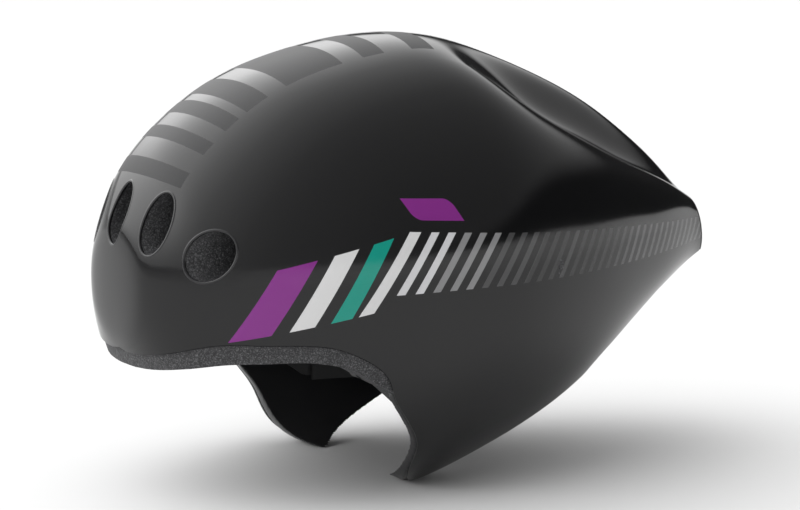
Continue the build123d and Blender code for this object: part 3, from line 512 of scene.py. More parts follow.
@dataclass(frozen=True)
class MouldedPlastic:
    """Moulded plastic with a fine spark texture and light wear."""

    name: str
    colour: Colour
    roughness: float
    grain: float = 2200.0
    depth: float = 0.00004
    roughness_spread: float = 0.08
    wear_scale: float = 55.0
    wear_share: float = 0.6
    # Times and plus, for the colour where it is worn
    wear_lift: tuple[float, float] = (1.5, 0.004)
    bump_share: float = 0.6

    def make(self) -> bpy.types.Material:
        """Build the material."""
        maker = NodeMaker.fresh(self.name)
        place = maker.place()
        texture = maker.noise(place, self.grain, detail=2.0)
        wear = maker.noise(place, self.wear_scale, detail=4.0)
        times, plus = self.wear_lift
        lighter = tuple(min(1.0, part * times + plus) for part in self.colour)
        colour = maker.mix(maker.math("MULTIPLY", wear, self.wear_share), self.colour, lighter)
        roughness = maker.line(
            wear, self.roughness - self.roughness_spread / 2, self.roughness_spread
        )
        return maker.finish(
            colour, roughness, maker.bump(texture, self.depth, self.bump_share)
        )


@dataclass(frozen=True)
class KnitCloth:
    """Brushed knit of the pads' covers, and the hooked face of the pads' dots."""

    name: str
    colour: Colour = (0.022, 0.022, 0.025)
    stitch: float = 0.0011
    unevenness: float = 0.35
    fuzz_scale: float = 1500.0
    # How much lighter the fuzz is, and shares of stitch and fuzz in that shade. The stitch share
    # makes the raised middles of the stitches lighter and the low gaps between them darker, which
    # is painted shade in the gaps.
    lift: float = 2.3
    shade_shares: tuple[float, float] = (0.55, 0.45)
    stitch_share: float = -0.7
    depth: float = 0.00025
    bump_share: float = 0.7
    # Least roughness and how much the fuzz adds
    roughness: tuple[float, float] = (0.78, 0.15)
    sheen: float = 0.35
    sheen_roughness: float = 0.45

    def make(self) -> bpy.types.Material:
        """Build the material."""
        maker = NodeMaker.fresh(self.name)
        place = maker.place()
        stitches = maker.cells(place, self.stitch, Randomness=self.unevenness)
        cells = stitches.outputs["Distance"]
        fuzz = maker.noise(place, self.fuzz_scale, detail=4.0)
        lighter = tuple(part * self.lift for part in self.colour)
        # Stitches are lighter in their raised middles and darker in the low gaps, which is painted
        # shade. The fuzz adds a random tone.
        shade = maker.weighted((cells, fuzz), self.shade_shares)
        height = maker.math("ADD", maker.math("MULTIPLY", cells, self.stitch_share), fuzz)
        return maker.finish(
            maker.mix(shade, lighter, self.colour), maker.line(fuzz, *self.roughness),
            maker.bump(height, self.depth, self.bump_share),
            Sheen_Weight=self.sheen, Sheen_Roughness=self.sheen_roughness,
        )


@dataclass(frozen=True)
class WovenWebbing:
    """Flat woven webbing: chevrons along the strap and a plain edge."""

    colour: Colour = (0.020, 0.020, 0.022)
    # Colour at the bottom of the grooves, painted shade in the weave's hollows
    groove: Colour = (0.010, 0.010, 0.011)
    thread: float = 0.0009
    warp_share: float = 0.45
    half_width: float = 0.0075
    # Heights of rib and warp where each is a thread high, and how much lighter their tops are:
    # painted light on the tops of the weave
    heights: tuple[float, float] = (0.75, 0.5)
    lift: float = 2.0
    depth: float = 0.0002
    bump_share: float = 0.8
    roughness: float = 0.62
    sheen: float = 0.15
    sheen_roughness: float = 0.4

    def make(self) -> bpy.types.Material:
        """Build the material."""
        maker = NodeMaker.fresh("webbing")
        parts = maker.add("ShaderNodeSeparateXYZ", {0: maker.uv()})
        along, across = parts.outputs[0], parts.outputs[1]
        fold = maker.math("PINGPONG", across, self.half_width / 2)
        slant = maker.math("ADD", along, fold)
        rib = maker.math("PINGPONG", slant, self.thread)
        warp = maker.math("PINGPONG", across, self.thread * self.warp_share)
        shares = tuple(part / self.thread for part in self.heights)
        height = maker.weighted((rib, warp), shares)
        # Colour follows the weave's height: painted shade in the grooves, painted light on the rib
        # tops
        colour = maker.mix(height, self.groove, tuple(part * self.lift for part in self.colour))
        return maker.finish(
            colour, self.roughness, maker.bump(height, self.depth, self.bump_share),
            Sheen_Weight=self.sheen, Sheen_Roughness=self.sheen_roughness,
        )


@dataclass(frozen=True)
class BrushedSteel:
    """Steel of the screws, the click spring and the clip."""

    colour: Colour = (0.56, 0.56, 0.57)
    grain: float = 3000.0
    depth: float = 0.00001
    bump_share: float = 0.5
    # Least roughness and how much the grain adds
    roughness: tuple[float, float] = (0.26, 0.16)

    def make(self) -> bpy.types.Material:
        """Build the material."""
        maker = NodeMaker.fresh("brushed_steel")
        fine = maker.noise(maker.place(), self.grain, detail=3.0)
        return maker.finish(
            self.colour, maker.line(fine, *self.roughness),
            maker.bump(fine, self.depth, self.bump_share), Metallic=1.0,
        )


@dataclass
class Finishes:
    """Every finish of the helmet, by name."""

    made: dict[str, bpy.types.Material] = field(default_factory=dict)

    def build(self) -> None:
        """Make all the materials."""
        black, grey = (0.016, 0.016, 0.017), (0.026, 0.026, 0.028)
        finishes = {
            "shell": PaintedShell(),
            "foam": BeadFoam(),
            "lining": MouldedPlastic("flap_lining", black, 0.30, 1400.0, 0.00003),
            "trim": MouldedPlastic("edge_trim", (0.010, 0.010, 0.011), 0.24, 1800.0, 0.00002),
            "plastic": MouldedPlastic("black_plastic", black, 0.42),
            "dial": MouldedPlastic("dial_plastic", grey, 0.50, 2600.0, 0.00006),
            "rubber": MouldedPlastic("keeper_rubber", (0.018, 0.018, 0.018), 0.66),
            "tape": KnitCloth("hook_tape", (0.012, 0.012, 0.012), 0.0007),
            "pad": KnitCloth("pad_cloth"),
            "webbing": WovenWebbing(),
            "steel": BrushedSteel(),
        }
        self.made = {name: finish.make() for name, finish in finishes.items()}


# ---------------------------------------------------------------- mesh helpers


def mapped_grid(
    columns: int, rows: int, placing: Placing, closed_rows: bool = False
) -> bmesh.types.BMesh:
    """Lay a grid out by a rule.

    Args:
        columns: Number of steps along the first share.
        rows: Number of steps along the second share.
        placing: Gives a point for two shares from 0 to 1.
        closed_rows: Whether the last row meets the first.

    Returns:
        The placed grid.
    """
    sheet = bmesh.new()
    bmesh.ops.create_grid(sheet, x_segments=columns, y_segments=rows, size=0.5)
    for vert in sheet.verts:
        vert.co = placing(vert.co.x + 0.5, vert.co.y + 0.5)
    if closed_rows:
        bmesh.ops.remove_doubles(sheet, verts=sheet.verts, dist=MERGE_GAP)
    return sheet


def merged(form: bmesh.types.BMesh, gap: float = MERGE_GAP) -> bmesh.types.BMesh:
    """Merge a form's doubles and turn its faces outwards."""
    bmesh.ops.remove_doubles(form, verts=form.verts, dist=gap)
    bmesh.ops.recalc_face_normals(form, faces=form.faces)
    return form


def form_of(mesh: bpy.types.Mesh, gap: float = MERGE_GAP) -> bmesh.types.BMesh:
    """Copy a mesh into a merged form."""
    form = bmesh.new()
    form.from_mesh(mesh)
    return merged(form, gap)


def into_object(
    name: str, mesh_form: bmesh.types.BMesh, material: bpy.types.Material, smooth: bool = True
) -> bpy.types.Object:
    """Turn a bmesh into an object at the origin.

    Args:
        name: The piece's name.
        mesh_form: The bmesh, which is freed.
        material: The piece's material.
        smooth: Whether its faces are shaded smooth.

    Returns:
        The new object.
    """
    mesh = bpy.data.meshes.new(name)
    mesh_form.to_mesh(mesh)
    mesh_form.free()
    mesh.materials.append(material)
    mesh.polygons.foreach_set("use_smooth", [smooth] * len(mesh.polygons))
    piece = bpy.data.objects.new(name, mesh)
    bpy.context.scene.collection.objects.link(piece)
    return piece


def evaluated_mesh(holder: bpy.types.Object) -> bpy.types.Mesh:
    """New mesh of an object as its modifiers or its curve's bevel leave it."""
    bpy.context.view_layer.update()
    graph = bpy.context.evaluated_depsgraph_get()
    return bpy.data.meshes.new_from_object(holder.evaluated_get(graph), depsgraph=graph)


def bake(piece: bpy.types.Object) -> None:
    """Apply a piece's modifiers to its mesh."""
    mesh, old = evaluated_mesh(piece), piece.data
    piece.modifiers.clear()
    piece.data = mesh
    name = old.name
    bpy.data.meshes.remove(old)
    mesh.name = name


def vectors(mesh: bpy.types.Mesh, key: str) -> np.ndarray:
    """A vector of each of a mesh's points, such as its place or normal."""
    flat = np.zeros(len(mesh.vertices) * 3)
    mesh.vertices.foreach_get(key, flat)
    return flat.reshape(-1, 3)


def put(mesh: bpy.types.Mesh, places: np.ndarray) -> None:
    """Move a mesh's points to places."""
    mesh.vertices.foreach_set("co", places.ravel())
    mesh.update()


def run_lengths(line: np.ndarray) -> np.ndarray:
    """Length of a line of points up to each of them."""
    return np.concatenate([[0], np.cumsum(np.hypot(*np.diff(line, axis=0).T))])


def softened(
    node: str, name: str, material: bpy.types.Material, voxel: float, rounds: int
) -> bpy.types.Object:
    """A copy of a CAD solid in even small faces, with rounded edges.

    Args:
        node: The CAD node that is copied.
        name: The piece's name.
        material: The piece's material.
        voxel: Size of its faces.
        rounds: Number of times that it is smoothed.

    Returns:
        The new object.
    """
    piece = into_object(name, form_of(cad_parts[node].data), material)
    remesh = piece.modifiers.new("even", "REMESH")
    remesh.mode = "VOXEL"
    remesh.voxel_size = voxel
    remesh.use_smooth_shade = True
    smooth = piece.modifiers.new("ease", "SMOOTH")
    smooth.factor = 0.5
    smooth.iterations = rounds
    bake(piece)
    piece.data.materials.clear()
    piece.data.materials.append(material)
    return piece


def round_bead(
    name: str, points: list[Vector], radius: float, material: bpy.types.Material
) -> bpy.types.Object:
    """A round bead along a ring of points.

    Args:
        name: The piece's name.
        points: The points of its middle line.
        radius: The bead's radius.
        material: The bead's material.

    Returns:
        The bead as a mesh object.
    """
    curve = bpy.data.curves.new(name, "CURVE")
    curve.dimensions = "3D"
    curve.bevel_depth = radius
    curve.bevel_resolution = 4
    spline = curve.splines.new("POLY")
    spline.points.add(len(points) - 1)
    for place, point in zip(spline.points, points):
        place.co = (*point, 1.0)
    spline.use_cyclic_u = True
    holder = bpy.data.objects.new(name + "_path", curve)
    bpy.context.scene.collection.objects.link(holder)
    mesh = evaluated_mesh(holder)
    bpy.data.objects.remove(holder)
    bpy.data.curves.remove(curve)
    form = form_of(mesh, FINE_GAP)
    bpy.data.meshes.remove(mesh)
    return into_object(name, form, material)


# ---------------------------------------------------------------- the helmet's form


@dataclass
class CubicTable:
    """Smooth curves through rows of values at given places."""

    places: np.ndarray
    values: np.ndarray

    def __post_init__(self) -> None:
        """Work out the bends of the curves at their places."""
        count = len(self.places)
        flat = self.values.reshape(count, -1)
        steps = np.diff(self.places)
        system = np.eye(count)
        right = np.zeros_like(flat)
        for i in range(1, count - 1):
            system[i, i - 1 : i + 2] = (steps[i - 1], 2 * (steps[i - 1] + steps[i]), steps[i])
            rise = (flat[i + 1] - flat[i]) / steps[i] - (flat[i] - flat[i - 1]) / steps[i - 1]
            right[i] = 6 * rise
        self.bends = np.linalg.solve(system, right).reshape(self.values.shape)

    def at(self, place: np.ndarray, row: np.ndarray | None = None) -> np.ndarray:
        """Value at places.

        Args:
            place: The places.
            row: Row of values for each place, or None for tables with one row.

        Returns:
            The values.
        """
        part = np.clip(np.searchsorted(self.places, place) - 1, 0, len(self.places) - 2)
        start, end = self.places[part], self.places[part + 1]
        step = end - start
        a, b = (end - place) / step, (place - start) / step
        key = (part,) if row is None else (part, row)
        after = (part + 1,) if row is None else (part + 1, row)
        shape = a.shape + (1,) * (self.values[key].ndim - a.ndim)
        a, b, step = a.reshape(shape), b.reshape(shape), step.reshape(shape)
        return (
            a * self.values[key] + b * self.values[after]
            + ((a**3 - a) * self.bends[key] + (b**3 - b) * self.bends[after]) * step**2 / 6
        )


@dataclass
class BodyForm:
    """Outer body of the helmet as sections from the nose to the tail.

    A point of it is given by its place along the helmet and its turn: 0 at the crown, 1 at the
    widest level and 2 at the keel.
    """

    front_reach: float = 0.1405
    rear_reach: float = 0.2070
    widest_back: float = 0.0130
    half_width: float = 0.0985
    crown_height: float = 0.1545
    waist_height: float = 0.0200
    keel_depth: float = 0.0760
    tail_foot: float = 0.0300
    tail_lean: float = 0.2167
    ridge_turn: float = 0.35
    steps: int = 400
    # Reach, half width, crown, widest level, keel, roundness above and below, ridge out and
    # up, share of the ridged form
    section_shares: tuple[tuple[float, ...], ...] = (
        (0.994, 0.218, 0.395, 0.246, -0.224, 2.00, 2.30, 0.090, 0.0, 0.0),
        (0.977, 0.320, 0.456, 0.240, -0.079, 2.00, 2.30, 0.140, 0.0, 0.0),
        (0.943, 0.411, 0.524, 0.227, 0.105, 2.05, 2.30, 0.185, 0.0, 0.0),
        (0.886, 0.518, 0.621, 0.207, 0.316, 2.10, 2.30, 0.245, 0.0, 0.0),
        (0.797, 0.629, 0.712, 0.188, 0.526, 2.15, 2.40, 0.305, 0.0, 0.0),
        (0.662, 0.756, 0.806, 0.168, 0.724, 2.20, 2.60, 0.365, 0.0, 0.0),
        (0.477, 0.878, 0.896, 0.149, 0.868, 2.25, 2.85, 0.415, 0.0, 0.0),
        (0.249, 0.970, 0.961, 0.136, 0.961, 2.25, 3.05, 0.455, 0.0, 0.0),
        (0.000, 1.000, 1.000, 0.129, 1.000, 2.25, 2.50, 0.467, 0.0, 0.0),
        (-0.190, 0.990, 0.990, 0.142, 0.947, 2.25, 2.05, 0.467, 0.848, 0.3),
        (-0.360, 0.905, 0.924, 0.172, 0.763, 2.25, 2.15, 0.437, 0.753, 1.0),
        (-0.530, 0.765, 0.832, 0.204, 0.474, 2.25, 2.25, 0.376, 0.641, 1.0),
        (-0.680, 0.605, 0.727, 0.230, 0.158, 2.25, 2.30, 0.299, 0.553, 1.0),
        (-0.800, 0.460, 0.615, 0.249, -0.053, 2.25, 2.30, 0.228, 0.492, 1.0),
        (-0.900, 0.325, 0.502, 0.265, -0.197, 2.25, 2.30, 0.168, 0.434, 1.0),
        (-1.000, 0.195, 0.375, 0.278, -0.289, 2.25, 2.30, 0.112, 0.362, 1.0),
        (-1.035, 0.160, 0.345, 0.280, -0.310, 2.25, 2.30, 0.092, 0.335, 1.0),
    )
    nose_level_share: float = 0.252
    front_samples: int = 400
    halvings: int = 34
    tables: dict[float, CubicTable] = field(default_factory=dict)

    @property
    def nose(self) -> float:
        """Place of the nose."""
        return self.front_reach - self.widest_back

    @property
    def tail(self) -> float:
        """Place of the tail's foot."""
        return -self.rear_reach - self.widest_back

    def drawn_in(self, height: float, inset: float) -> float:
        """A height of the body, drawn towards its waist."""
        up = height > self.waist_height
        span = self.crown_height - self.waist_height if up else self.keel_depth + self.waist_height
        return self.waist_height + (height - self.waist_height) * (span - inset) / span

    def section(self, row: tuple[float, ...], inset: float) -> np.ndarray:
        """Half of one section as points from the crown to the keel.

        Args:
            row: The section's shares.
            inset: How far the body is drawn in.

        Returns:
            Out and up of each point.
        """
        _, wide, crown, widest, keel, power, lower_power, out, up, hump = row
        width = wide * (self.half_width - inset)
        crown = self.drawn_in(crown * self.crown_height, inset)
        widest = self.drawn_in(widest * self.crown_height, inset)
        keel = self.drawn_in(-keel * self.keel_depth, inset)
        out *= self.half_width - inset
        up = self.drawn_in(up * self.crown_height, inset)
        turn = np.linspace(0, 2, self.steps * 2 + 1)
        dome = np.clip(turn / self.ridge_turn, 0, 1)
        flank = np.clip((turn - self.ridge_turn) / (1 - self.ridge_turn), 0, 1)
        start = math.asin((out / width) ** (power / 2))
        over = turn < self.ridge_turn
        angle = np.where(over, start * dome, start + (math.pi / 2 - start) * flank)
        plain_y = width * np.clip(np.sin(angle), 0, 1) ** (2 / power)
        plain_z = widest + (crown - widest) * np.clip(np.cos(angle), 0, 1) ** (2 / power)
        turned = math.pi / 2 * flank
        hump_y = np.where(over, out * dome, out + (width - out) * np.sin(turned))
        hump_z = np.where(
            over,
            crown + (up - crown) * (1 - np.cos(math.pi * dome)) / 2,
            widest + (up - widest) * np.cos(turned),
        )
        y = plain_y * (1 - hump) + hump_y * hump
        z = plain_z * (1 - hump) + hump_z * hump
        low = math.pi / 2 * np.clip(turn - 1, 0, 1)
        below = turn > 1
        y = np.where(below, width * np.clip(np.cos(low), 0, 1) ** (2 / lower_power), y)
        z = np.where(
            below, widest - (widest - keel) * np.clip(np.sin(low), 0, 1) ** (2 / lower_power), z
        )
        return np.stack([y, z], axis=1)

    def table(self, inset: float) -> CubicTable:
        """Smooth table of the sections for one inset."""
        if inset not in self.tables:
            level = self.drawn_in(self.nose_level_share * self.crown_height, inset)
            pole = np.tile([0.0, level], (self.steps * 2 + 1, 1))
            places, rows = [0.0], [pole]
            for row in self.section_shares:
                length = self.front_reach if row[0] > 0 else self.rear_reach
                places.append(math.sqrt(self.nose - (row[0] * length - self.widest_back)))
                rows.append(self.section(row, inset))
            self.tables[inset] = CubicTable(np.array(places), np.stack(rows))
        return self.tables[inset]

    def surface(self, x: np.ndarray, turn: np.ndarray, inset: float = 0.0) -> np.ndarray:
        """Points of the body.

        Args:
            x: Places along the uninset body.
            turn: Turns from 0 to 2.
            inset: How far the body is drawn in.

        Returns:
            The points.
        """
        table = self.table(inset)
        x, turn = np.broadcast_arrays(np.asarray(x, float), np.asarray(turn, float))
        place = np.sqrt(np.clip(self.nose - x, 0, None))
        spot = np.clip(turn, 0, 2) * self.steps
        row = np.minimum(spot.astype(int), self.steps * 2 - 1)
        share = (spot - row)[..., None]
        out = table.at(place, row) * (1 - share) + table.at(place, row + 1) * share
        length = np.where(x > -self.widest_back, self.front_reach, self.rear_reach)
        real_x = (x + self.widest_back) * (length - inset) / length - self.widest_back
        return np.concatenate([real_x[..., None], out], axis=-1)

    def turn_at(self, x: float, z: float) -> float:
        """Turn of the lower curve at a height, from 1 at the widest level to 2 at the keel."""
        turns = np.linspace(1, 2, self.steps + 1)
        heights = self.surface(np.full(turns.shape, x), turns)[:, 2]
        return float(np.interp(-z, -heights, turns))

    def front_at(self, y: float, z: float) -> float:
        """Place along the helmet where its front passes a point across.

        Args:
            y: Distance out.
            z: Height.

        Returns:
            The place.
        """
        low, high = 0.0, self.nose
        turns = np.linspace(0, 1, self.front_samples)
        for _ in range(self.halvings):
            x = (low + high) / 2
            curve = self.surface(np.full(turns.shape, x), turns)
            inside = curve[0, 2] > z and float(np.interp(-z, -curve[:, 2], curve[:, 1])) > abs(y)
            low, high = (x, high) if inside else (low, x)
        return (low + high) / 2


@dataclass
class EdgeLine:
    """Lower edge of the shell from the nose over the brow and the flap to the tail."""

    form: BodyForm
    flap_drop: float = 0.0670
    soften: float = 0.0018
    soften_reach: int = 12
    spacing: float = 0.0004
    brow_points: int = 240
    raise_by: float = 0.0005
    brow_shares: tuple[tuple[float, float], ...] = (
        (1.0, 0.03), (0.94, 0.09), (0.844, 0.171), (0.756, 0.201), (0.649, 0.198),
        (0.556, 0.197), (0.458, 0.187), (0.383, 0.156), (0.304, 0.087), (0.25, 0.024),
        (0.194, -0.105), (0.178, -0.2), (0.152, -0.29), (0.105, -0.415), (0.068, -0.515),
        (0.04, -0.62), (0.029, -0.74), (0.012, -0.87), (-0.03, -0.985),
    )
    flap_shares: tuple[tuple[float, float], ...] = (
        (-0.045, -1.0), (-0.064, -0.99), (-0.145, -0.87), (-0.273, -0.69), (-0.40, -0.48),
        (-0.491, -0.32), (-0.514, -0.24), (-0.545, -0.164), (-0.627, -0.015), (-0.764, 0.209),
    )

    def placed(self, share: tuple[float, float]) -> tuple[float, float]:
        """A point of the line in the side view."""
        reach = self.form.nose if share[0] > 0 else -self.form.tail
        return (share[0] * reach, share[1] * self.flap_drop)

    def points(self) -> np.ndarray:
        """The line as close points, its corners softened."""
        brow = np.array([self.placed(share) for share in self.brow_shares])
        chord = run_lengths(brow)
        fine = np.linspace(0, chord[-1], self.brow_points)
        brow = CubicTable(chord, brow).at(fine)
        flap = [self.placed(share) for share in self.flap_shares]
        line = np.concatenate([brow, flap, [(self.form.tail, self.form.tail_foot)]])
        length = run_lengths(line)
        even = np.arange(0, length[-1], self.spacing)
        line = np.stack([np.interp(even, length, line[:, k]) for k in (0, 1)], axis=1)
        far = self.soften_reach
        weight = np.exp(-((np.arange(-far, far + 1) * self.spacing / self.soften) ** 2))
        weight /= weight.sum()
        padded = np.concatenate([
            2 * line[0] - line[1 : far + 1][::-1], line, 2 * line[-1] - line[-far - 1 : -1][::-1]
        ])
        soft = np.stack([np.convolve(padded[:, k], weight, "valid") for k in (0, 1)], axis=1)
        soft[:, 1] += self.raise_by
        return soft


@dataclass
class ShellSkin:
    """The outer shell with its flaps, as one closed skin with a rounded lower edge."""

    form: BodyForm
    edge: EdgeLine
    wall: float = 0.0015
    first_step: float = 0.0003
    step: float = 0.0020
    step_growth: float = 1.22
    dome_rows: int = 24
    flank_rows: int = 30
    lower_rows: int = 30
    rim_rows: int = 5
    nose_columns: int = 12
    nose_points: int = 60
    # Turn from which the columns lean over to their place at the edge
    ease_turn: float = 0.55
    # Distance behind the nose at which the tail's lean starts, and how far it takes to grow
    lean_start: float = 0.22
    lean_length: float = 0.10
    lean_rounds: int = 6
    corner: float = 0.0015
    rim_swell: float = 0.0005
    # Size and forward step of the rings that close the tail's face
    face_rings: tuple[tuple[float, float], ...] = (
        (0.997, 0.0004), (0.985, 0), (0.95, 0), (0.7, 0), (0.35, 0), (0, 0),
    )

    def columns(self) -> tuple[np.ndarray, np.ndarray, np.ndarray]:
        """Places of the columns.

        Returns:
            Place at the top, place at the edge and turn at the edge, for each column.
        """
        line = self.edge.points()
        front = line[: self.nose_points]
        keel = np.array([
            self.form.surface(np.array([x]), np.array([2.0]))[0, 2] for x in front[:, 0]
        ])
        line = line[int(np.argmax(keel < front[:, 1])) :]
        length = run_lengths(line)
        spots, step = [0.0], self.first_step
        while spots[-1] + step < length[-1]:
            spots.append(spots[-1] + step)
            step = min(step * self.step_growth, self.step)
        spots = np.array(spots) * (length[-1] / spots[-1])
        xs = np.interp(spots, length, line[:, 0])
        zs = np.interp(spots, length, line[:, 1])
        turns = np.array([self.form.turn_at(x, z) for x, z in zip(xs, zs)])
        tops = xs[0] + (self.form.tail - xs[0]) * spots / spots[-1]
        ahead = math.sqrt(self.form.nose - xs[0])
        nose = self.form.nose - np.linspace(0, ahead, self.nose_columns + 1)[:-1] ** 2
        return (
            np.concatenate([nose, tops]), np.concatenate([nose, xs]),
            np.concatenate([np.full(nose.shape, 2.0), turns]),
        )

    def turn_rows(self, last: np.ndarray) -> np.ndarray:
        """Turns of the rows, for each column's last turn."""
        ridge = self.form.ridge_turn
        upper = np.concatenate([
            np.linspace(0, ridge, self.dome_rows + 1),
            np.linspace(ridge, 1, self.flank_rows + 1)[1:],
        ])
        upper = np.tile(upper, (len(last), 1))
        lower = 1 + (last[:, None] - 1) * np.linspace(0, 1, self.lower_rows + 1)[None, 1:]
        return np.concatenate([upper, lower], axis=1)

    def layer(self, inset: float) -> np.ndarray:
        """Points of one layer of the skin, by column and row, with the tail's face."""
        tops, edges, last = self.columns()
        turns = self.turn_rows(last)
        ease = np.clip((turns - self.ease_turn) / (last[:, None] - self.ease_turn), 0, 1)
        ease = ease * ease * (3 - 2 * ease)
        x = tops[:, None] + (edges - tops)[:, None] * ease
        behind = self.form.nose - self.lean_start - tops
        share = np.clip(behind / self.lean_length, 0, 1)[:, None]
        lean = share * share * self.form.tail_lean
        placed = x
        for _ in range(self.lean_rounds):
            points = self.form.surface(placed, turns, inset)
            placed = x + lean * (points[..., 2] - self.form.tail_foot)
        face = points[-1]
        foot = np.array([face[-1, 0], 0.0, face[-1, 2]])
        caps = []
        for size, forward in self.face_rings:
            cap = foot + (face - foot) * size
            cap[:, 0] += forward
            caps.append(cap)
        body = points.copy()
        body[-1, :, 0] += self.corner
        if inset:
            for cap in caps:
                cap[:, 0] += self.wall
        return np.concatenate([body, np.stack(caps)])

    def build(self, material: bpy.types.Material) -> bpy.types.Object:
        """Build the shell.

        Args:
            material: Its paint.

        Returns:
            The shell's object.
        """
        outer, inner = self.layer(0.0), self.layer(self.wall)
        down = outer[:, -1] - outer[:, -2]
        down /= np.maximum(np.linalg.norm(down, axis=1, keepdims=True), NO_LENGTH)
        shares = (np.arange(1, self.rim_rows + 1) / (self.rim_rows + 1))[None, :, None]
        rim = outer[:, -1:] * (1 - shares) + inner[:, -1:] * shares
        thick = np.linalg.norm(outer[:, -1] - inner[:, -1], axis=1)[:, None, None]
        swell = np.minimum(thick / 2, self.rim_swell)
        rim = rim + down[:, None] * np.sin(np.pi * shares) * swell
        points = np.concatenate([outer, rim, inner[:, ::-1]], axis=1)
        columns, rows = points.shape[:2]

        def placing(along: float, across: float) -> tuple[float, float, float]:
            """Point of the skin for two shares."""
            return tuple(points[round(along * (columns - 1)), round(across * (rows - 1))])

        form = mapped_grid(columns - 1, rows - 1, placing)
        bmesh.ops.remove_doubles(form, verts=form.verts, dist=2 * MERGE_GAP)
        bmesh.ops.dissolve_degenerate(form, edges=form.edges, dist=MERGE_GAP)
        flat = [
            face for face in form.faces if all(abs(vert.co.y) < FINE_GAP for vert in face.verts)
        ]
        bmesh.ops.delete(form, geom=flat, context="FACES")
        half = form.verts[:] + form.edges[:] + form.faces[:]
        bmesh.ops.mirror(form, geom=half, axis="Y", merge_dist=MERGE_GAP)
        return into_object("shell", merged(form), material)


@dataclass
class VentSet:
    """The five vents of the nose: openings in the shell and a rounded lip round each."""

    form: BodyForm
    start: float = 0.036
    past_nose: float = 0.02
    ease: float = 0.0004
    cut_sides: int = 96
    sharp_turn: float = 30.0
    lip_radius: float = 0.0008
    lip_sink: float = 0.8
    lip_points: int = 72
    # Half width, half height, distance out and height
    sizes: tuple[tuple[float, float, float, float], ...] = (
        (0.0084, 0.0150, 0.0, 0.0720),
        (0.0080, 0.0148, 0.0300, 0.0696), (0.0080, 0.0148, -0.0300, 0.0696),
        (0.0080, 0.0121, 0.0555, 0.0560), (0.0080, 0.0121, -0.0555, 0.0560),
    )

    def cut(self, shell: bpy.types.Object) -> None:
        """Cut the openings into the shell."""
        tools = []
        for index, (half_width, half_height, out, height) in enumerate(self.sizes):
            drill = bmesh.new()
            bmesh.ops.create_cone(
                drill, cap_ends=True, segments=self.cut_sides, radius1=1.0, radius2=1.0, depth=1.0
            )
            length = self.form.nose + self.past_nose - self.start
            turned = Matrix.Rotation(math.pi / 2, 4, "Y")
            bmesh.ops.transform(drill, matrix=turned, verts=drill.verts)
            size = (length, half_width + self.ease, half_height + self.ease)
            bmesh.ops.scale(drill, vec=size, verts=drill.verts)
            middle = (self.start + length / 2, out, height)
            bmesh.ops.translate(drill, vec=middle, verts=drill.verts)
            bmesh.ops.recalc_face_normals(drill, faces=drill.faces)
            tool = into_object(f"vent_tool_{index}", drill, shell.data.materials[0], smooth=False)
            tools.append(tool)
            cutter = shell.modifiers.new(tool.name, "BOOLEAN")
            cutter.operation = "DIFFERENCE"
            cutter.solver = "EXACT"
            cutter.object = tool
        bake(shell)
        shell.data.set_sharp_from_angle(angle=math.radians(self.sharp_turn))
        for tool in tools:
            mesh = tool.data
            bpy.data.objects.remove(tool)
            bpy.data.meshes.remove(mesh)

    def lips(self, material: bpy.types.Material) -> list[bpy.types.Object]:
        """Build the lips.

        Args:
            material: Their finish.

        Returns:
            One bead for each opening.
        """
        made = []
        for index, (half_width, half_height, out, height) in enumerate(self.sizes):
            points = []
            for number in range(self.lip_points):
                turn = 2 * math.pi * number / self.lip_points
                y = out + (half_width + self.ease) * math.cos(turn)
                z = height + (half_height + self.ease) * math.sin(turn)
                x = self.form.front_at(y, z) - self.lip_radius * self.lip_sink
                points.append(Vector((x, y, z)))
            made.append(round_bead(f"vent_lip_{index + 1}", points, self.lip_radius, material))
        return made


@dataclass
class ShellAssembly:
    """The shell, its vents and their lips."""

    finishes: Finishes
    form: BodyForm = field(default_factory=BodyForm)

    def build(self) -> None:
        """Build the pieces and set them on the frame."""
        edge = EdgeLine(self.form)
        shell = ShellSkin(self.form, edge).build(self.finishes.made["shell"])
        vents = VentSet(self.form)
        vents.cut(shell)
        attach(shell, "helmet")
        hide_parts("outer_shell")
        log.info("shell: %d faces", len(shell.data.polygons))
        for lip in vents.lips(self.finishes.made["trim"]):
            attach(lip, "helmet")


# ---------------------------------------------------------------- soft goods


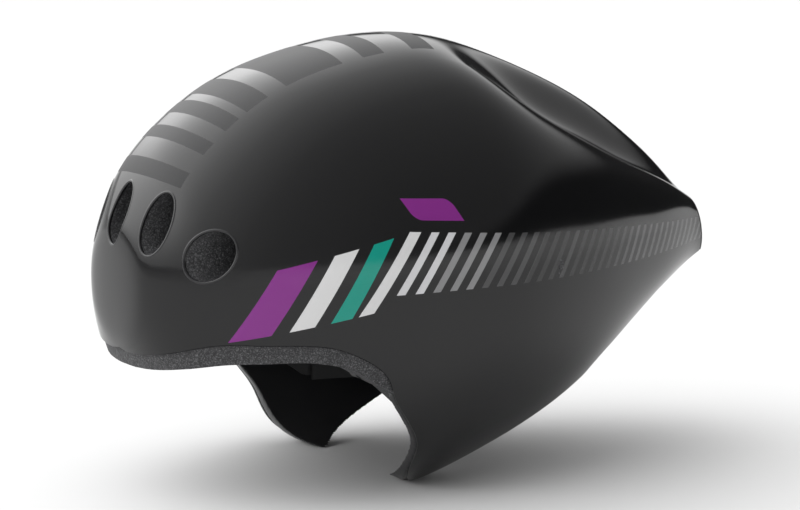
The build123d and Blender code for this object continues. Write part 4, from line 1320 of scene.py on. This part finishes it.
@dataclass
class PadSet:
    """Comfort pads, each swollen from its CAD solid's space."""

    finishes: Finishes
    voxel: float = 0.0016
    rounds: int = 6
    frames: int = 20
    quality: int = 4
    mass: float = 0.1
    pressure: float = 4.0
    swell: float = 0.0008
    shrink: float = 0.0006
    seam_width: float = 0.0012
    seam_depth: float = 0.0005
    # CAD node, name of the piece and body of each
    pads: tuple[tuple[str, str, str], ...] = (
        ("brow_pad", "brow_cushion", "helmet"),
        ("crown_pad_front", "front_crown_cushion", "helmet"),
        ("crown_pad_rear", "rear_crown_cushion", "helmet"),
        ("side_pad_left", "left_side_cushion", "helmet"),
        ("side_pad_right", "right_side_cushion", "helmet"),
        ("chin_pad", "chin_cushion", "helmet"),
        ("nape_pad_left", "left_nape_cushion", "band_left"),
        ("nape_pad_right", "right_nape_cushion", "band_right"),
    )

    def build(self) -> None:
        """Build every pad."""
        for node, name, body in self.pads:
            pad = self.pad(node, name)
            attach(pad, body)
            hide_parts(node)
            log.info("%s: %d faces", name, len(pad.data.polygons))

    def pad(self, node: str, name: str) -> bpy.types.Object:
        """One pad.

        Args:
            node: The CAD node whose space it fills.
            name: The piece's name.

        Returns:
            The pad's object.
        """
        pad = softened(node, name, self.finishes.made["pad"], self.voxel, self.rounds)
        self.swollen(pad)
        finer = pad.modifiers.new("finer", "SUBSURF")
        finer.levels = finer.render_levels = 1
        self.pressed(pad)
        pad.data.polygons.foreach_set("use_smooth", [True] * len(pad.data.polygons))
        return pad

    def swollen(self, pad: bpy.types.Object) -> None:
        """Swell a pad from a slightly smaller start, with each point's way capped."""
        start = vectors(pad.data, "co") - vectors(pad.data, "normal") * self.shrink
        put(pad.data, start)
        cloth = pad.modifiers.new("swell", "CLOTH")
        cloth.settings.quality = self.quality
        cloth.settings.mass = self.mass
        cloth.settings.use_pressure = True
        cloth.settings.uniform_pressure_force = self.pressure
        cloth.settings.effector_weights.gravity = 0.0
        cloth.collision_settings.use_collision = False
        cloth.point_cache.frame_start = 1
        cloth.point_cache.frame_end = self.frames
        for number in range(1, self.frames + 1):
            bpy.context.scene.frame_set(number)
        graph = bpy.context.evaluated_depsgraph_get()
        away = vectors(pad.evaluated_get(graph).data, "co") - start
        pad.modifiers.clear()
        bpy.context.scene.frame_set(1)
        far = np.linalg.norm(away, axis=1, keepdims=True)
        away *= np.minimum(1.0, self.swell / np.maximum(far, NO_LENGTH))
        put(pad.data, start + away)

    def pressed(self, pad: bpy.types.Object) -> None:
        """Press the welded edge of a pad's cloth into its sides, a little below its face."""
        bake(pad)
        place, normals = vectors(pad.data, "co"), vectors(pad.data, "normal")
        away = place - place.mean(axis=0)
        # The pad's thin way is the axis along which its points spread least
        thin = np.linalg.eigh(away.T @ away)[1][:, 0]
        level = away @ thin
        sideways = np.clip(1 - np.abs(normals @ thin), 0, 1)
        groove = np.exp(-(((level - np.median(level)) / self.seam_width) ** 2)) * sideways
        put(pad.data, place - normals * (groove * self.seam_depth)[:, None])


@dataclass
class FlapLining:
    """Smooth linings of the flaps, with rounded edges."""

    finishes: Finishes
    voxel: float = 0.0006
    rounds: int = 10

    def build(self) -> None:
        """Build both linings and set them on the frame."""
        for side in Side:
            word = side.name.lower()
            node = f"ear_panel_{word}"
            lining = softened(
                node, f"{word}_flap_lining", self.finishes.made["lining"], self.voxel, self.rounds
            )
            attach(lining, "helmet")
            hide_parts(node)
            log.info("%s: %d faces", lining.name, len(lining.data.polygons))


@dataclass
class CavityForm:
    """The head cavity's dome, which the straps lie along."""

    half_length: float = 0.0980
    half_width: float = 0.0790
    height: float = 0.1270

    def side(self, side: Side, x: float, z: float, depth: float) -> Vector:
        """Point of the side wall at a depth into the cavity.

        Args:
            side: Which side.
            x: Place along the helmet.
            z: Height.
            depth: Distance in from the wall.

        Returns:
            The point.
        """
        left = 1 - (x / (self.half_length - depth)) ** 2 - (z / (self.height - depth)) ** 2
        return Vector((x, side.value * (self.half_width - depth) * math.sqrt(max(left, 0.0)), z))

    def arch(self, side: Side, x: float, turn: float, depth: float) -> Vector:
        """Point of the arch over the crown, at a turn up from the side."""
        size = math.sqrt(max(1 - (x / (self.half_length - depth)) ** 2, 0.0))
        return Vector((
            x, side.value * (self.half_width - depth) * math.cos(turn) * size,
            (self.height - depth) * math.sin(turn) * size,
        ))


@dataclass
class StrapSet:
    """Webbing straps laid along the cavity, with sewn ends."""

    finishes: Finishes
    cavity: CavityForm = field(default_factory=CavityForm)
    half_width: float = 0.0073
    gap: float = 0.0007
    thickness: float = 0.0010
    front_anchor: tuple[float, float] = (0.050, 0.015)
    rear_anchor: tuple[float, float] = (-0.054, 0.011)
    join: tuple[float, float] = (0.006, 0.050)
    chin_foot: float = 0.0735
    chin_end: float = 0.0205
    round_rows: int = 28
    corner_power: float = 0.35
    column_length: float = 0.0015
    least_columns: int = 12

    def ring(self, share: float) -> tuple[float, float]:
        """Across and depth of the strap's outline at a share of its way round."""
        turn = 2 * math.pi * share
        across, deep = (
            math.copysign(abs(way) ** self.corner_power, way)
            for way in (math.cos(turn), math.sin(turn))
        )
        return (
            across * self.half_width,
            self.gap + self.thickness / 2 + deep * self.thickness / 2,
        )

    def strip(self, name: str, place: DeepPlacing, length: float) -> bpy.types.Object:
        """A strap along a route.

        Args:
            name: The piece's name.
            place: Gives a point for a share along, a distance across and a depth.
            length: The strap's length.

        Returns:
            The strap's object.
        """
        columns = max(self.least_columns, int(length / self.column_length))
        form = bmesh.new()
        layer = form.loops.layers.uv.new("UVMap")
        bmesh.ops.create_grid(form, x_segments=columns, y_segments=self.round_rows, size=0.5)
        for face in form.faces:
            for loop in face.loops:
                along, share = loop.vert.co.x + 0.5, loop.vert.co.y + 0.5
                loop[layer].uv = (along * length, self.ring(share)[0] + self.half_width)
        for vert in form.verts:
            vert.co = place(vert.co.x + 0.5, *self.ring(vert.co.y + 0.5))
        bmesh.ops.remove_doubles(form, verts=form.verts, dist=MERGE_GAP)
        ends = [edge for edge in form.edges if edge.is_boundary]
        bmesh.ops.holes_fill(form, edges=ends, sides=0)
        bmesh.ops.recalc_face_normals(form, faces=form.faces)
        return into_object(name, form, self.finishes.made["webbing"])

    def side_strap(self, side: Side, anchor: tuple[float, float], name: str) -> bpy.types.Object:
        """Strap from an anchor to the divider."""
        sign = 1 if anchor[0] > 0 else -1
        start, end = Vector(anchor), Vector((sign * self.join[0], self.join[1]))
        run = end - start
        across_way = Vector((-run.y, run.x)).normalized()

        def place(along: float, across: float, depth: float) -> Vector:
            """Point of the strap."""
            flat = start + run * along + across_way * across
            return self.cavity.side(side, flat.x, flat.y, depth)

        return self.strip(name, place, run.length)

    def chin_strap(self, side: Side, name: str) -> bpy.types.Object:
        """Strap from the divider up to the buckle."""
        height, width = self.cavity.height - self.gap, self.cavity.half_width - self.gap
        start = math.asin(self.chin_foot / height)
        end = math.acos(self.chin_end / width)

        def place(along: float, across: float, depth: float) -> Vector:
            """Point of the strap."""
            return self.cavity.arch(side, across, start + (end - start) * along, depth)

        return self.strip(name, place, (end - start) * (height + width) / 2)

    def build(self) -> None:
        """Build every strap."""
        for side in Side:
            word = side.name.lower()
            for anchor, part in ((self.front_anchor, "front"), (self.rear_anchor, "rear")):
                strap = self.side_strap(side, anchor, f"{part}_webbing_{word}")
                self.settle(strap, f"{part}_strap_{word}")
            self.settle(self.chin_strap(side, f"chin_webbing_{word}"), f"chin_strap_{word}")

    def settle(self, strap: bpy.types.Object, node: str) -> None:
        """Set a strap on the frame in place of its solid."""
        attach(strap, "helmet")
        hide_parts(node)
        log.info("%s: %d faces", strap.name, len(strap.data.polygons))


# ---------------------------------------------------------------- carried-over solids


@dataclass
class Hardware:
    """CAD solids that show as they are, with their own finishes."""

    finishes: Finishes
    dressed: dict[str, tuple[str, ...]] = field(default_factory=lambda: {
        "foam": (
            "foam_front_left", "foam_front_right", "foam_crown", "foam_side_left",
            "foam_side_right", "foam_tail_upper", "foam_tail_lower",
        ),
        "tape": ("pad_dots",),
        "plastic": (
            "strap_anchors", "temple_mount_left", "temple_mount_right", "temple_caps",
            "hanger_anchor", "divider_left", "divider_right", "latch_left", "latch_right",
            "buckle_socket", "buckle_plug", "cradle_frame", "cradle_cover", "height_hanger",
            "fit_band_left", "fit_band_right", "dial_pinion",
        ),
        "dial": ("fit_dial",),
        "rubber": ("strap_keeper",),
        "steel": ("housing_screws", "click_spring", "dial_clip"),
    })

    def build(self) -> None:
        """Give each solid its finish."""
        for finish, nodes in self.dressed.items():
            for node in nodes:
                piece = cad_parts[node]
                material = self.finishes.made[finish]
                if not piece.material_slots:
                    piece.data.materials.append(material)
                for place in piece.material_slots:
                    place.material = material
            log.info("%s: %d solids", finish, len(nodes))


# ---------------------------------------------------------------- studio


@dataclass
class Studio:
    """Pale floor, soft light and the camera."""

    target: tuple[float, float, float] = (-0.038, 0.0, 0.039)
    azimuth: float = 149.0
    elevation: float = 8.5
    distance: float = 1.400
    lens: float = 121.15
    sensor: float = 36.0
    shift: float = -0.0025
    floor_level: float = -0.0672
    floor_grey: float = 0.64
    flat_reach: float = 9.0
    sweep_reach: float = 3.0
    sweep_rise: float = 1.3
    floor_steps: tuple[int, int] = (96, 24)
    # Lamp overhead
    lamp_place: tuple[float, float, float] = (0.2, -0.4, 2.2)
    lamp_aim: tuple[float, float, float] = (-0.05, 0.0, 0.0)
    lamp_size: float = 2.0
    lamp_power: float = 6.0
    # Way to the middle of the bank of light, and upright of the plane under which it ends
    bank_way: tuple[float, float, float] = (0.5650, -0.8060, 0.1740)
    skyline_way: tuple[float, float, float] = (0.3311, 0.0401, 0.9427)
    # Half width of that end's fade, and how much it grows towards the nose
    skyline_fade: tuple[float, float] = (0.045, 0.10)
    # Light by how far a ray points towards the bank
    sky_levels: tuple[tuple[float, float], ...] = (
        (-0.9, 0.28), (-0.6, 0.40), (-0.4, 0.48), (-0.2, 0.62), (0.0, 0.95), (0.2, 1.4),
        (0.4, 2.2), (0.6, 3.3), (1.0, 3.9),
    )
    sky_scale: float = 4.0
    dim_level: float = 0.03
    # Limit near the horizon, and the height of that band
    low_level: float = 1.0
    low_band: float = 0.55

    def build(self) -> None:
        """Build the studio."""
        self.camera()
        self.floor()
        self.world()
        self.lamp()

    def camera(self) -> None:
        """Place the camera at the photograph's viewing angle."""
        turn, lift = math.radians(self.azimuth), math.radians(self.elevation)
        back = Vector((
            math.sin(turn) * math.cos(lift), -math.cos(turn) * math.cos(lift), math.sin(lift)
        ))
        data = bpy.data.cameras.new("camera")
        data.lens = self.lens
        data.sensor_width = self.sensor
        data.shift_x = self.shift
        camera = bpy.data.objects.new("camera", data)
        camera.location = Vector(self.target) + back * self.distance
        camera.rotation_euler = (-back).to_track_quat("-Z", "Y").to_euler()
        bpy.context.scene.collection.objects.link(camera)
        bpy.context.scene.camera = camera

    def floor(self) -> None:
        """Lay the floor, which sweeps up far away from the helmet."""
        def placing(turn: float, share: float) -> tuple[float, float, float]:
            """Point of the sweep, which is flat and then rises at its far edge."""
            angle = 2 * math.pi * turn
            bend = max(share * 2 - 1, 0.0) * math.pi / 2
            out = self.flat_reach * min(share * 2, 1.0) + self.sweep_reach * math.sin(bend)
            rise = self.sweep_rise * (1 - math.cos(bend))
            return (out * math.cos(angle), out * math.sin(angle), self.floor_level + rise)

        sheet = mapped_grid(*self.floor_steps, placing, closed_rows=True)
        bmesh.ops.recalc_face_normals(sheet, faces=sheet.faces)
        maker = NodeMaker.fresh("floor")
        pale = maker.add("ShaderNodeBsdfDiffuse", {"Color": (self.floor_grey,) * 3})
        maker.add("ShaderNodeOutputMaterial", {"Surface": pale.outputs[0]})
        floor = into_object("floor", sheet, maker.material, smooth=False)

    def lamp(self) -> None:
        """Hang one soft lamp overhead, which gives no highlight of its own."""
        data = bpy.data.lights.new("overhead", "AREA")
        data.shape = "RECTANGLE"
        data.size = data.size_y = self.lamp_size
        data.energy = self.lamp_power
        lamp = bpy.data.objects.new("overhead", data)
        lamp.location = self.lamp_place
        way = Vector(self.lamp_aim) - Vector(self.lamp_place)
        lamp.rotation_euler = way.to_track_quat("-Z", "Y").to_euler()
        lamp.visible_glossy = False
        bpy.context.scene.collection.objects.link(lamp)

    def world(self) -> None:
        """Light the surroundings as one wide soft bank on the far side of the nose."""
        world = bpy.data.worlds.new("surroundings")
        world.use_nodes = True
        world.node_tree.nodes.clear()
        maker = NodeMaker(world)
        way = maker.add("ShaderNodeTexCoord").outputs["Generated"]

        def towards(direction: tuple[float, float, float]) -> Socket:
            """How far a ray points towards a direction, from -1 to 1."""
            return maker.add(
                "ShaderNodeVectorMath", {0: way, 1: direction}, operation="DOT_PRODUCT"
            ).outputs["Value"]

        def levels(most: float) -> Socket:
            """Light of the bank, no brighter than a limit."""
            return maker.ramp(maker.line(towards(self.bank_way), 0.5, 0.5), [
                ((place + 1) / 2, (min(level, most) / self.sky_scale,) * 3)
                for place, level in self.sky_levels
            ])

        lift = maker.eased(towards((0.0, 0.0, 1.0)), 0.0, self.low_band)
        bank = maker.mix(lift, levels(self.low_level), levels(self.sky_scale))
        rise = towards(self.skyline_way)
        forward = maker.math("MAXIMUM", towards((1.0, 0.0, 0.0)), 0.0)
        width = maker.line(forward, *self.skyline_fade)
        fade = maker.eased(rise, maker.math("MULTIPLY", width, -1.0), width)
        colour = maker.mix(fade, (self.dim_level / self.sky_scale,) * 3, bank)
        shade = maker.add("ShaderNodeBackground", {"Color": colour, "Strength": self.sky_scale})
        maker.add("ShaderNodeOutputWorld", {"Surface": shade.outputs[0]})
        bpy.context.scene.world = world


def main() -> None:
    """Build the helmet's looks in order."""
    logging.basicConfig(level=logging.INFO, format="%(name)s %(message)s")
    bpy.context.scene.view_settings.view_transform = "Standard"
    studio = Studio()
    studio.build()
    finishes = Finishes()
    finishes.build()
    Hardware(finishes).build()
    ShellAssembly(finishes).build()
    FlapLining(finishes).build()
    PadSet(finishes).build()
    StrapSet(finishes).build()


if __name__ == "__main__":
    main()
